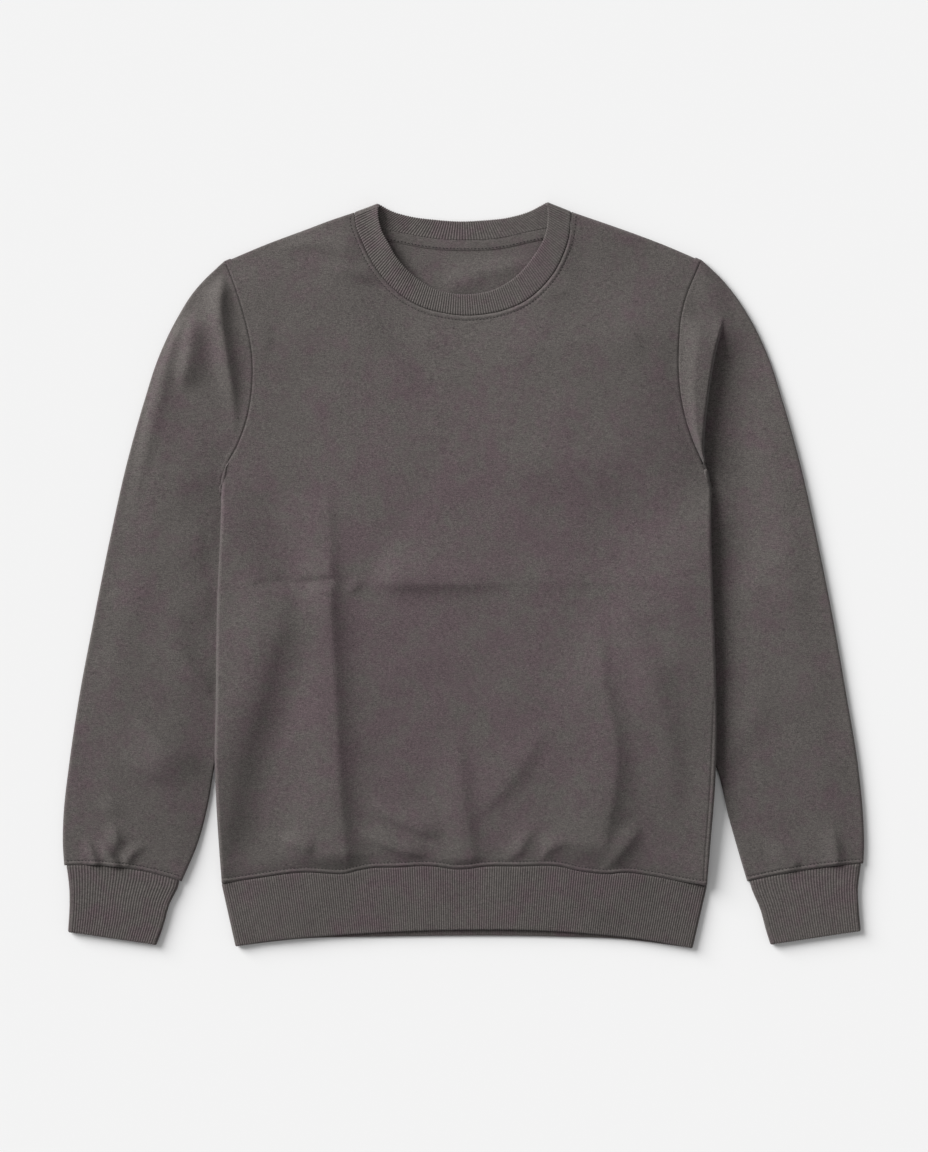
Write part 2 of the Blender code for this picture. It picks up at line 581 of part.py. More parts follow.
def make_collar(front_seam, back_seam, look, into):
    """The collar, a ring whose back half lies on the surface and whose front half lies over it."""
    lines = []
    for seam in (front_seam, back_seam):
        line = seam - SEAM * outward(seam, COLLAR_CENTRE)
        line[0], line[-1] = front_seam[0] + (SEAM, 0), front_seam[-1] - (SEAM, 0)
        lines.append(line)
    shares = np.linspace(0, 1, EDGE_STEPS)
    edges = smooth_line(COLLAR_FRONT, shares), smooth_line(COLLAR_BACK, shares)
    out = []
    for end, lean in ((0, -1), (-1, 1)):
        crease = unit(edges[0][end] - lines[0][end])
        out.append(np.array([-crease[1], crease[0]]) * -lean)
    outer_stations = stations(top=2 * COLLAR_FRONT_RIBS, bottom=24, ribbed=1)
    inner_stations = stations(top=40, bottom=2 * COLLAR_BACK_RIBS, ribbed=3)
    outer, inner = band([tuple(lines), edges], RIB, outer_stations, inner_stations, tuple(out))
    make_tube("collar", outer, inner, look, into, outer_stations[0], inner_stations[0])


def make_tape(back_seam, look, into):
    """The tape that covers the back neck seam, made from the back panel's points, moved out."""
    seam = back_seam[len(NECK_END_SHARES):-len(NECK_END_SHARES)]
    inward = -outward(seam, (0, 0))
    bottom = FABRIC + SEAM
    rows = np.array([seam + reach * inward for reach in (TAPE_INSET, TAPE_WIDTH)])
    under = np.dstack([rows, np.full(rows.shape[:2], bottom)])
    over = np.dstack([rows, np.full(rows.shape[:2], bottom + TAPE)])
    make_sheet("neck_tape", over, under, look, into)


def build():
    for thing in list(bpy.data.objects):
        bpy.data.objects.remove(thing, do_unlink=True)
    garment = bpy.data.collections.new("crewneck_sweatshirt")
    bpy.context.scene.collection.children.link(garment)
    fleece = cloth("fleece", (0.112, 0.090, 0.090), 0.92)
    rib = cloth("rib knit", (0.098, 0.083, 0.083), 0.90)

    front_steps, back_steps = 20, 12  # across the neckline
    *front, away = panel(NECK_FRONT, front_steps, 1)
    *back, _ = panel(NECK_BACK, back_steps, -1)
    make_sheet("body_front", *front, fleece, garment)
    make_sheet("body_back", *back, fleece, garment)
    for side in SIGN:
        outer, inner = sleeve(side, front, back, away)
        make_tube(f"sleeve_{side}", outer, inner, fleece, garment)
        make_cuff(side, outer[-1], rib, garment)
    make_waistband(front[0][-1, :, :2], rib, garment)
    back_seam = neck_edge(back[0], back_steps)
    make_collar(neck_edge(front[0], front_steps), back_seam, rib, garment)
    make_tape(back_seam, fleece, garment)


build()
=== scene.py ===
# %% [markdown]
# # A crewneck sweatshirt, laid flat
#
# The garment lies on its back on a pale table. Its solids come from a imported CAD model, and this
# lesson dresses them: every piece of cloth becomes a thin shell with real folds, rib knit,
# seams and stitches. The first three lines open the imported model, whose pieces we can measure
# but never move.

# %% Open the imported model
import math
from functools import partial

import bmesh
import bpy
import numpy as np
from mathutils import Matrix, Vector
from mathutils.bvhtree import BVHTree


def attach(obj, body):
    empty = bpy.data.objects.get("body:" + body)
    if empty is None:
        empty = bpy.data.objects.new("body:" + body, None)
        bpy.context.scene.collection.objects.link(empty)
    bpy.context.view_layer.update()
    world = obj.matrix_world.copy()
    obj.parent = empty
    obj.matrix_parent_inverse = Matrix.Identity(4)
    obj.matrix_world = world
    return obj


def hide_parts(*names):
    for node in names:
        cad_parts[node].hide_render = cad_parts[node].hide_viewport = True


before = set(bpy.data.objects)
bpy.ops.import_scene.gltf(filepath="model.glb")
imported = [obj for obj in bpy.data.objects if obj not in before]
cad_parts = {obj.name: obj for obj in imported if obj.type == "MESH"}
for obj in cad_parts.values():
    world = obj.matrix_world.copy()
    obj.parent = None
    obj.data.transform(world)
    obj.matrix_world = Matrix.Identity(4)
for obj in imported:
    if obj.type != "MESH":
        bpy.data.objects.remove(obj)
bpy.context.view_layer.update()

print("nodes:", ", ".join(sorted(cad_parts)))

# %% [markdown]
# ## Sizes
#
# Cloth is easiest to think about in millimetres, so every size below is in millimetres and
# the meshes are turned to metres at the very end. X runs across the chest, Y from the hem to
# the neck and Z up from the table. The sleeves are partly tucked under the body, which is
# why the body needs a height of its own where it lies on them.

# %% Thickness, heights and spacing
MM = 0.001
FABRIC = 1.6  # fleece-backed jersey
RIB = 2.4  # rib bands, knitted double
SEAM = 0.3  # gap between two pieces that are sewn together
LOFT = 7.0  # body, from the table to its top
EDGE_RADIUS = LOFT / 2
BAND_LOFT = 6.1  # collar, cuffs and hem band
OUTER_FOLD = 5.8  # a sleeve at its outer fold
UNDER_BODY = 3.8  # a sleeve where the body lies on it
TUCK_LIFT = {"left": 8.2, "right": 10.8}  # the body's underside where it lies on a sleeve
TUCK_MARGIN, TUCK_SLOPE = 10.0, 26.0  # how far inside the sleeve's fold the back comes down
FRONT_MARGIN = {"left": -6.0, "right": -20.0}  # the front starts further out
FRONT_SLOPE = {"left": 62.0, "right": 110.0}  # and comes down more gently
CLIMB_FROM, CLIMB = 118.0, 76.0  # the height at which the body starts to climb on to the sleeve
UNDERARM_Y, UNDERARM_RISE = 68.0, 32.0
UNDERARM_LENGTH = 17.5  # stretch of armhole in which the cloth starts to turn over
SLEEVE_PUFF, PUFF_SLOPE = 2.2, 44.0  # how far a sleeve swells, and over what width
OVER_TABLE = 0.3  # least height of the cloth's inner side
GRID, FINE = 3.5, 0.8  # spacing of the cloth's points in the open and at a seam
ROLL_STEPS = 6  # points round a quarter turn of cloth
QUARTER_TURN = math.pi / 2
SIGN = {"left": -1, "right": 1}
print(f"cloth {FABRIC} mm, body {LOFT} mm high, grid {GRID} mm")

# %% [markdown]
# ## Outlines
#
# A pattern cutter draws each piece from a few measured points and joins them with smooth
# curves. We do the same: each table is a row of (x, y) points along one edge or seam, and
# they are the same edges that the CAD solids have, with the hem seam's small waves added.

# %% Edges of the pieces
ARMHOLE = {
    "left": [(-225.1, 294.9), (-218, 277.4), (-211.4, 257.4), (-204.7, 232.8), (-200.9, 211.8),
             (-200, 190), (-201.9, 166.2), (-205.7, 147.2), (-216.1, 119.7), (-222.8, 107.8),
             (-226.6, 99.8), (-228.9, 91.2), (-229.4, 82.6)],
    "right": [(224.2, 295.9), (219, 283.9), (210.4, 262.2), (206.2, 245.1), (203.8, 218.5),
              (203.8, 187.1), (210.4, 147.2), (217.1, 127.3), (223.7, 112.1), (228.5, 100.7),
              (232.8, 91.2), (235, 82.6)],
}
SIDE_EDGE = {
    "left": [(-229.4, 82.6), (-229.9, 52.2), (-233.2, -23.8), (-234.6, -118.8),
             (-235.6, -180.5), (-234.2, -213.8), (-231.8, -256.5), (-229.4, -292.6)],
    "right": [(235, 82.6), (234.5, 52.2), (236.5, -23.8), (239.4, -118.8),
              (239.3, -167.2), (238, -203.3), (235.1, -240.3), (232.3, -276.4), (230.9, -294.5)],
}
SHOULDER = {
    "left": [(-226, 297.3), (-187.6, 313.5), (-147.7, 328.4), (-126.8, 336.3), (-104, 343.9)],
    "right": [(225.1, 298.3), (189.5, 313.5), (148.7, 328.7), (126.8, 336.3), (102.6, 344.6)],
}
NECK_FRONT = [(-104, 343.9), (-102.1, 330.6), (-97.4, 318.7), (-89.8, 302.1), (-79.3, 285.5),
              (-67, 271.7), (-51.8, 260.3), (-35.6, 252.7), (-18.5, 248.3), (0.5, 246),
              (19, 247), (41.3, 251.8), (58.4, 259.5), (73.6, 271.7), (86, 286.9),
              (94.5, 303.5), (99.3, 317.3), (101.6, 330.6), (102.6, 344.6)]
NECK_BACK = [(-104, 343.9), (-101.8, 338.2), (-95, 333), (-82, 329.3), (-60.3, 325.4),
             (-31.8, 320.1), (0.5, 318.2), (34.7, 320.1), (61, 325.9), (81, 330),
             (93.6, 333.7), (100.4, 338.9), (102.6, 344.6)]
COLLAR_FRONT = [(-80.9, 352.4), (-80.3, 337), (-77.4, 326.3), (-71.7, 315.4), (-64.1, 302.1),
                (-53.7, 289.8), (-41.3, 279.3), (-26.1, 270.8), (-8.1, 266.6), (11.4, 266.6),
                (26.6, 269.8), (41.3, 277), (56.5, 289.8), (67.5, 304), (74.6, 315.4),
                (78.4, 326.3), (79.9, 338.2), (79.3, 353.8)]
COLLAR_BACK = [(-80.9, 352.4), (-68.9, 345.8), (-48.9, 340.1), (-26.1, 337.2), (-3.3, 335.7),
               (19, 336.7), (41.3, 339.1), (61.3, 344.6), (79.3, 353.8)]
HEM_SEAM = [(-229.4, -292.6), (-198, -287.8), (-146, -282), (-127, -283.2), (-113, -283.4),
            (-102, -280.6), (-90, -278.2), (-62, -277.2), (-36, -276), (-22, -277), (-9, -279),
            (5, -278.6), (17, -276.8), (50, -276.3), (92, -276.6), (111, -281), (127, -283),
            (137, -283.6), (152, -282.2), (182, -286), (213, -291.8), (230.9, -294.5)]
HEM_FRONT = [(-216.1, -352.4), (-183.8, -347.3), (-136.3, -342.9), (-79.3, -339.1),
             (-12.8, -336.6), (72.7, -337.2), (129.7, -341.1), (167.7, -345.3), (217.1, -354.1)]
HEM_BACK = [(-216.1, -352.4), (-155.3, -345.5), (-79.3, -343.4), (91.7, -343.4),
            (148.7, -345.5), (217.1, -354.1)]
print("front neckline:", len(NECK_FRONT), "points; hem seam:", len(HEM_SEAM), "points")

# %% Folds of the sleeves and edges of the cuffs
SLEEVE_OUTER = {
    "left": [(-226, 297.3), (-241.8, 283.1), (-255.1, 268.8), (-272.2, 242.2), (-290.2, 204.2),
             (-302.6, 166.2), (-318.7, 109.2), (-335.8, 33.2), (-351, -42.8), (-365.3, -118.8),
             (-373.8, -175.8), (-379.9, -232.8), (-380.3, -254.6), (-379, -275.5)],
    "right": [(225.1, 298.3), (241.8, 283.1), (255.1, 267.9), (272.2, 242.2), (290.2, 204.2),
              (302.6, 166.2), (318.7, 109.2), (335.8, 33.2), (351, -42.8), (364.3, -118.8),
              (373.8, -175.8), (379.5, -232.8), (380.3, -256.5), (379.5, -273.6)],
}
SLEEVE_INNER = {
    "left": [(-231.4, 82.6), (-228.8, 68), (-223, 50), (-212, 20), (-200, -8), (-193, -34),
             (-197, -71), (-211.4, -118.8), (-236.1, -180.5), (-241.8, -213.8),
             (-251.3, -251.8), (-267.4, -290.7)],
    "right": [(235.4, 82.6), (232.5, 66), (227, 48), (216, 20), (203, -6), (191, -36),
              (190, -76), (204, -118.8), (241.2, -186.2), (251.3, -228),
              (259.8, -258.4), (269.3, -290.7)],
}
CUFF_OUTER = {
    "left": [(-375, -286), (-373.7, -300), (-373.6, -313.5), (-375, -338.7)],
    "right": [(376, -281), (374, -299.2), (374.8, -315.4), (376.7, -337.7)],
}
CUFF_INNER = {
    "left": [(-271.5, -297), (-278.3, -309.7), (-285.5, -334.4), (-291.6, -351)],
    "right": [(273.5, -297), (281.7, -316.3), (287.4, -337.2), (291.6, -350.6)],
}
CUFF_BOW = {"left": 5.5, "right": 2.5}  # how far the cuff seam bows towards the shoulder
CUFF_GATHER = 2.5
COLLAR_CENTRE = (0.0, 345.0)
print("sleeve folds:", {side: len(SLEEVE_OUTER[side]) for side in SIGN})

# %% [markdown]
# ## Curve helpers
#
# A few small functions do all the drawing. `smooth_line` runs a curve through table points,
# `spaced` decides where the grid lines of a cloth go, close together near seams and creases
# and further apart elsewhere, so that points are spent where the eye needs them.

# %% Smooth steps and curves
def soft(t):
    """A smooth step from 0 to 1 as t goes from 0 to 1."""
    t = np.clip(t, 0, 1)
    return t * t * (3 - 2 * t)


def unit(v):
    v = np.asarray(v, float)
    return v / np.maximum(np.linalg.norm(v, axis=-1, keepdims=True), 1e-9)


def lengths(points):
    """How far along a line each of its points is."""
    return np.r_[0, np.cumsum(np.linalg.norm(np.diff(points, axis=0), axis=1))]


def follow(points, shares):
    """Points at the given shares of the length of a line with straight runs."""
    along = lengths(points)
    return np.column_stack([np.interp(np.asarray(shares) * along[-1], along, column)
                            for column in np.asarray(points, float).T])


def smooth_line(points, shares):
    """Points at the given shares of the length of a curve through the given points."""
    points = np.array(points, float)
    along = lengths(points)
    slope = np.gradient(points, along, axis=0)
    fine = np.linspace(0, along[-1], 30 * len(points))
    i = np.clip(np.searchsorted(along, fine, "right") - 1, 0, len(points) - 2)
    span = (along[i + 1] - along[i])[:, None]
    s = (fine - along[i])[:, None] / span
    curve = ((1 + 2 * s) * (1 - s) ** 2 * points[i] + s * (1 - s) ** 2 * span * slope[i]
             + s * s * (3 - 2 * s) * points[i + 1] - s * s * (1 - s) * span * slope[i + 1])
    return follow(curve, shares)


print("half way down the left armhole:", smooth_line(ARMHOLE["left"], [0.5])[0].round(1))


# %% Directions and spacing
def outward(points, away_from):
    """At each point of a line, the direction square to it that leads away from a place."""
    tangent = unit(np.gradient(points, axis=0))
    normal = np.column_stack([-tangent[:, 1], tangent[:, 0]])
    side = np.sum(normal * (points - np.asarray(away_from, float)), axis=1)
    return normal * np.where(side < 0, -1, 1)[:, None]


def spaced(length, coarse=GRID, close=(), steps=None):
    """Shares of a length, coarse apart, and fine apart within reach of each close place."""
    along = np.linspace(0, length, 4000)
    gap = np.full(len(along), float(coarse))
    for place, fine, reach in close:
        away = np.abs(along - place) - reach
        gap = np.minimum(gap, fine + (coarse - fine) * soft(away / (3 * reach)))
    count = np.r_[0, np.cumsum((1 / gap[1:] + 1 / gap[:-1]) / 2 * np.diff(along))]
    steps = steps or int(round(count[-1]))
    return np.interp(np.linspace(0, count[-1], steps + 1), count, along) / length


print("grid lines in 100 mm with one fine end:", len(spaced(100, close=[(0, FINE, 6)])))

# %% [markdown]
# ## Creases, one by one
#
# Real creases are uneven: one flank is steep and the other gentle, and they fade out at
# their own pace. Each row of a crease table is the line along which the shaded flank runs,
# how wide the steep and the gentle flank are, and how high the ridge stands. The steep flank
# always turns away from the window light, which comes from the upper left. A negative height
# makes a trough. A cloth simulation would also make folds, but not these ones in these places.

# %% Distance to a line
TO_LIGHT = np.array((-0.8, 0.6))


def to_line(x, y, points):
    """Distance to a curve, positive on its side away from the light, and the share along it."""
    line = smooth_line(points, np.linspace(0, 1, 6 * len(points)))
    run, along = np.diff(line, axis=0), lengths(line)
    size = np.hypot(*run.T)
    normal = np.column_stack([-run[:, 1], run[:, 0]]) / size[:, None]
    if normal.sum(axis=0) @ TO_LIGHT > 0:
        normal = -normal
    best = np.full(np.shape(x), 1e9)
    signed, share = np.zeros(np.shape(x)), np.zeros(np.shape(x))
    for k in range(len(run)):
        px, py = x - line[k, 0], y - line[k, 1]
        t = (px * run[k, 0] + py * run[k, 1]) / size[k] ** 2
        inside = np.clip(t, 0, 1)
        away = np.hypot(px - inside * run[k, 0], py - inside * run[k, 1])
        side = np.where(px * normal[k, 0] + py * normal[k, 1] < 0, -1, 1)
        beyond = np.clip(t, -9 if k == 0 else 0, 9 if k == len(run) - 1 else 1)
        closer = away < best
        best = np.where(closer, away, best)
        signed = np.where(closer, side * away, signed)
        share = np.where(closer, (along[k] + beyond * size[k]) / along[-1], share)
    return signed, share, along[-1]


def away_from(x, y, points):
    """Distance to a curve."""
    return np.abs(to_line(x, y, points)[0])


# %% The profile of a crease
def beside(x, y, points):
    """The same for a nearly straight line, measured square to the chord from end to end."""
    line = smooth_line(points, np.linspace(0, 1, 6 * len(points))) - points[0]
    total = np.hypot(*line[-1])
    way = line[-1] / total
    across = np.array([-way[1], way[0]])
    across = -across if across @ TO_LIGHT > 0 else across
    px, py = x - points[0][0], y - points[0][1]
    along = px * way[0] + py * way[1]
    signed = px * across[0] + py * across[1] - np.interp(along, line @ way, line @ across)
    return signed, along / total, total


def creased(x, y, table):
    """Height that a table of creases adds at x, y."""
    height = np.zeros(np.shape(x))
    for points, shade, back, rise, fade_in, fade_out, softness in table:
        reach = 2.6 * max(shade, back) + shade
        low, high = np.min(points, axis=0) - reach, np.max(points, axis=0) + reach
        near = (x > low[0]) & (x < high[0]) & (y > low[1]) & (y < high[1])
        s, share, total = beside(x[near], y[near], points)
        ends = soft(share * total / fade_in) * soft((1 - share) * total / fade_out)
        s = (np.sign(rise) * s + (0.1 + 0.3 * softness) * shade) / (0.3 + 0.7 * np.sqrt(ends))
        profile = np.where(s > 0, np.exp(-(np.maximum(s, 0) / shade) ** softness),
                           np.exp(-(s / back) ** 2))
        height[near] += rise * profile * ends
    return height


def uneven(x, y, seed, size, rise):
    """Slow waves of random directions, about the given size from crest to crest."""
    rng = np.random.default_rng(seed)
    height = np.zeros(np.shape(x))
    for _ in range(12):
        angle, wave = rng.uniform(0, 2 * math.pi), size * rng.uniform(0.6, 1.6)
        shift = rng.uniform(0, 2 * math.pi)
        across = x * math.cos(angle) + y * math.sin(angle)
        height += np.cos(across * 2 * math.pi / wave + shift)
    return rise * height / math.sqrt(12)


# %% [markdown]
# The front's creases, each as: points of the line, width of the shaded flank and of the lit
# one, height, over what length it fades in and out, and how soft its shaded flank starts (1
# is a sharp edge, 2 a round one).

# %% Creases of the front
FRONT_CREASES = [
    # long fold down the left of the chest
    ([(-124, 96), (-123, 60), (-122, 30), (-122, -20), (-121, -60)], 9, 30, 3.2, 80, 70, 1.6),
    ([(-122, 34), (-121, 0), (-120, -30), (-116, -100), (-113, -171), (-108, -242),
      (-103, -282)], 12, 44, 7.6, 84, 20, 1.3),
    # edge of the tucked sleeve below, left and right
    ([(-163, 2), (-163, -35), (-177, -83), (-191, -138), (-203, -178), (-211, -218),
      (-215, -272)], 17, 40, 3.9, 60, 50, 2),
    ([(160, -16), (174, -64), (187, -90), (193, -119), (199, -138), (204, -171),
      (207, -218), (206, -262)], 18, 50, 5.0, 90, 100, 2),
    # storage crease across the belly
    ([(-92, -13), (-60, -12.5), (-32, -13), (16, -13), (70, -12)], 9, 26, 5.6, 34, 110, 1.6),
    ([(40, -12), (100, -10), (150, -11), (228, -12)], 6, 12, 0.7, 40, 40, 2),
    ([(-212, -14), (-191, -5), (-172, -4), (-150, -4)], 3.4, 6, -1.0, 30, 20, 2),
    ([(-162, -5), (-140, -3.4), (-121, -2)], 3.2, 8, -2.2, 16, 6, 1.6),
    ([(-142, -18), (-130, -18.5), (-120, -18)], 2.6, 4, -0.9, 10, 8, 2),
    ([(-92, -5), (-101, -13), (-112, -22)], 3.6, 8, 2.2, 16, 16, 1.6),
    # folds that run into the hem
    ([(-178, -250), (-160, -258), (-140, -268)], 5, 10, 4.4, 20, 14, 1.5),
    ([(-110, -210), (-84, -225), (-62, -236), (-40, -245), (-16, -253)],
     5.5, 15, 5.0, 70, 30, 1.5),
    ([(-108, -240), (-88, -252), (-70, -260), (-52, -266), (-30, -270)],
     5.5, 12, 5.0, 40, 28, 1.5),
    ([(-2, -130), (2, -180), (5, -218), (10, -250), (15, -281)], 9, 26, 3.9, 100, 16, 1.6),
    ([(92, -136), (77, -158), (56, -190), (37, -211), (8, -240)], 10, 22, 3.0, 70, 50, 1.9),
    ([(74, -236), (62, -252), (56, -262), (42, -274)], 4.5, 9, 2.4, 24, 14, 1.6),
    ([(112, -258), (98, -256), (85, -261), (72, -276)], 4.5, 9, 2.6, 26, 14, 1.6),
    ([(129, -10), (136, -70), (141, -116), (147, -140), (151, -171), (148, -206), (141, -242),
      (134, -276)], 12, 44, 6.6, 140, 24, 1.4),
    ([(174, -234), (160, -256), (150, -268), (138, -282)], 7.5, 12, 4.8, 30, 14, 1.5),
    # drags at the neck and shoulders
    ([(-186, 300), (-160, 309), (-144, 311), (-128, 308), (-112, 303), (-92, 293)],
     4.5, 12, 2.6, 50, 24, 1.6),
    ([(-140, 286), (-116, 286), (-98, 281), (-76, 273)], 3.6, 12, 3.0, 40, 22, 1.6),
    ([(66, 255), (80, 261), (92, 265), (120, 271)], 6, 12, 1.2, 20, 40, 2),
    ([(-186, 256), (-183, 228), (-188, 190)], 8, 20, 2.4, 40, 50, 2),
    ([(162, 262), (168, 223), (178, 185)], 12, 24, 1.6, 50, 50, 2),
    # the body stands higher where the right sleeve folds back
    ([(214, 300), (214, 200), (214, 40)], 60, 130, 8.0, 90, 76, 2),
]
SHOULDER_DIP, DIP_WIDTH = 2.4, 20  # the left shoulder slopes down to its fold
# The back lies in soft folds that show through the neck opening.
BACK_CREASES = [
    ([(-54, 288), (-41, 298), (-22, 311)], 8, 16, 2.2, 14, 14, 1.8),
    ([(18, 279), (42, 289), (60, 301), (74, 314)], 9, 20, 2.8, 16, 16, 1.8),
    ([(-18, 271), (4, 275), (28, 282)], 6, 14, 1.8, 12, 14, 1.8),
]
# The right side seam lies a little way in on the front.
SIDE_SEAM = [(237, -119), (235.7, -155), (233.9, -197), (231, -240), (229, -266), (228, -290)]
print(len(FRONT_CREASES), "creases on the front")

# %% Creases of the sleeves' tops
SLEEVE_CREASES = {
    "left": [
        # the valley beside the armhole, and the bright slopes that run down from the shoulder
        ([(-224.6, 288), (-226.6, 262), (-226.4, 247), (-222.5, 218), (-217.5, 188), (-214, 160),
          (-213, 126)], 6, 11, 7.4, 24, 90, 1.5),
        ([(-241, 254), (-247, 234), (-251, 208), (-259, 168)], 15, 9, 7.2, 30, 30, 1.6),
        ([(-253, 262), (-263, 240), (-272, 210), (-280, 180), (-290, 140), (-300, 96),
          (-312, 40)], 9, 12, 4.2, 40, 150, 1.7),
        ([(-244, 64), (-248, 30), (-242, -6)], 9, 20, 1.5, 34, 34, 2),
        ([(-238, 4), (-242, -24), (-236, -56)], 10, 20, 1.4, 30, 30, 2),
        ([(-274, -56), (-262, -76), (-255, -87), (-228, -113)], 6, 18, 2.3, 40, 34, 1.6),
        ([(-316, -126), (-294, -146), (-282, -157), (-263, -168), (-236, -188)],
         8, 20, 4.4, 50, 46, 1.7),
        ([(-338, -170), (-306, -188), (-288, -195), (-262, -208)], 9, 20, 4.0, 50, 40, 1.8),
        ([(-354, -217), (-340, -224), (-318, -232)], 6, 10, 2.6, 24, 24, 2),
        ([(-330, -228), (-325, -246), (-329, -270)], 6.5, 10, 4.4, 26, 22, 1.6),
        ([(-357, -246), (-349, -264), (-345, -280)], 3.6, 7, 3.0, 18, 8, 1.5),
        ([(-347, -244), (-334, -262), (-323, -281)], 4, 7, 4.2, 24, 8, 1.5),
        ([(-321, -281), (-312, -266), (-292, -255)], 4, 7, 3.0, 10, 26, 1.6),
    ],
    "right": [
        ([(222, 290), (243, 258), (257, 226), (263, 190)], 9, 9, 1.8, 30, 40, 2),
        ([(350, -230), (356, -256), (358, -279)], 5, 10, 3.8, 30, 8, 1.5),
        ([(288, -242), (306, -261), (322, -278)], 5, 10, 3.0, 28, 10, 1.6),
        ([(306, -100), (280, -145), (250, -196)], 16, 30, 2.6, 60, 60, 2),
        ([(330, 60), (322, 0), (330, -60)], 20, 34, 1.8, 60, 60, 2),
    ],
}
# The edge of the right sleeve's strip that folds over the rest of it, and the two levels.
FOLD_LINE = [(247, 246), (245.6, 237.5), (239, 214), (234.4, 190), (230.4, 161.5), (228, 138),
             (227.4, 120), (228.4, 107), (230.6, 95), (232, 84), (232.6, 70), (233, 44)]
FOLDED_OVER, FOLDED_UNDER = 18.6, 2.8
print({side: len(table) for side, table in SLEEVE_CREASES.items()}, "creases on the sleeves")

# %% [markdown]
# ## Seams
#
# Where two pieces are sewn, the cloth dips into the seam, swells into a soft roll beside it
# and is pressed flat again by the topstitch. One profile of height against distance from the
# seam gives all three, so the same function serves neckline, hem and cuffs.

# %% Profile of a seam
STITCH_LINE = 4.3  # from a seam to its topstitch
ROLL_CREST, ROLL_WIDTH = 2.2, 1.6  # the roll beside it
SEAM_WIDTH, GROOVE_WIDTH = 0.8, 0.7


def bump(distance, place, width):
    """A bell curve of height 1 round a place."""
    return np.exp(-((distance - place) / width) ** 2)


def sewn(distance, roll=1.0, groove=0.55):
    """Height that a seam adds at a distance from it."""
    return (roll * 0.9 * bump(distance, ROLL_CREST, ROLL_WIDTH)
            - 0.7 * bump(distance, 0, SEAM_WIDTH)
            - groove * bump(distance, STITCH_LINE, GROOVE_WIDTH))


def seam_line(distance):
    """The same for a seam that isn't topstitched, which is only a narrow valley."""
    return 0.15 * bump(distance, ROLL_CREST, 1.4) - 0.6 * bump(distance, 0, SEAM_WIDTH)


print("seam, roll and groove:", sewn(np.array([0, ROLL_CREST, STITCH_LINE])).round(2), "mm")

# %% [markdown]
# ## The two body panels
#
# Front and back are cut as separate panels. Each is a grid of points stretched between its
# shoulder and neckline, its two sides and its hem, which is called a Coons patch. At the
# sides the grid runs on round a quarter turn, so that front and back meet half way up, as
# real cloth does at a side seam. The grid is finer near the seams and the crease that the
# folded garment kept from its shelf.

# %% Rows and columns of the panels
def curve_length(points):
    return lengths(smooth_line(points, np.linspace(0, 1, 200)))[-1]


ARMHOLE_LENGTH = curve_length(ARMHOLE["left"])
SIDE_LENGTH = curve_length(SIDE_EDGE["left"])
ARMHOLE_ROWS = spaced(ARMHOLE_LENGTH, 4.4,
                      close=[(0, FINE, 2), (ARMHOLE_LENGTH, 1.6, UNDERARM_LENGTH)])
STORAGE_CREASE, GATHERS = 89, SIDE_LENGTH - 24  # how far down the side they lie
SIDE_ROWS = spaced(SIDE_LENGTH, close=[(0, 1.6, 8), (STORAGE_CREASE, 1.7, 14),
                                       (GATHERS, 2.2, 22), (SIDE_LENGTH, FINE, 6)])
ARMHOLE_STEPS = len(ARMHOLE_ROWS) - 1


def side_rows(side):
    """Points down a panel's side edge, and how much of a quarter turn the edge makes there."""
    armhole = smooth_line(ARMHOLE[side], ARMHOLE_ROWS)
    body = smooth_line(SIDE_EDGE[side], SIDE_ROWS[1:])
    turning = (ARMHOLE_ROWS - 1) * ARMHOLE_LENGTH / UNDERARM_LENGTH + 1
    turn = np.r_[np.clip(turning, 0, 1) ** 1.6, np.ones(len(body))]
    return np.vstack([armhole, body]), turn


def roll(turn):
    """How far out and down cloth that turns over an edge is, at each step from its start."""
    turn = np.maximum(turn, 1e-3)[..., None]
    angle = turn * (QUARTER_TURN - SEAM / 2 / EDGE_RADIUS) * np.arange(ROLL_STEPS + 1) / ROLL_STEPS
    radius = EDGE_RADIUS / turn
    return radius * np.sin(angle), radius * (1 - np.cos(angle))


print("rows down a panel:", len(ARMHOLE_ROWS) + len(SIDE_ROWS) - 1)


# %% Where the body lies on the sleeves
def sleeve_fold_x(side, y):
    """How far out the hidden inner fold of a sleeve is."""
    fold = smooth_line(SLEEVE_INNER[side], np.linspace(0, 1, 60))
    return SIGN[side] * np.interp(-y, -fold[:, 1], fold[:, 0])


def lift(x, y, face=-1):
    """Height of the body's underside, which lies on the tucked sleeves at both sides."""
    height = np.zeros(np.shape(x))
    for side, sign in SIGN.items():
        slope = TUCK_SLOPE if face < 0 else FRONT_SLOPE[side]
        margin = TUCK_MARGIN if face < 0 else FRONT_MARGIN[side]
        over = soft((sign * x - sleeve_fold_x(side, y) + margin) / slope + 1)
        height += TUCK_LIFT[side] * over * soft((CLIMB_FROM - y) / CLIMB)
    return height


def shoulder_columns(coarse):
    """Shares of a shoulder's length at its columns, from where the armhole's turn starts."""
    whole, start = curve_length(SHOULDER["left"]), 5.2
    rest = whole - start
    return (start + spaced(rest, coarse, [(0, FINE, 3), (rest, FINE, 6)]) * rest) / whole


def neck_points(neck, coarse):
    """Points of a neckline, further apart where it is steep so that the columns don't crowd."""
    line = smooth_line(neck, np.linspace(0, 1, 3000))
    run = np.diff(line, axis=0)
    size = np.hypot(*run.T)
    gap = np.clip(0.5 * size / np.maximum(np.abs(run[:, 0]), 1e-6), coarse, 4)
    count = np.r_[0, np.cumsum(size / gap)]
    places = np.interp(np.linspace(0, count[-1], int(count[-1]) + 1), count, lengths(line))
    return smooth_line(neck, places / lengths(line)[-1])


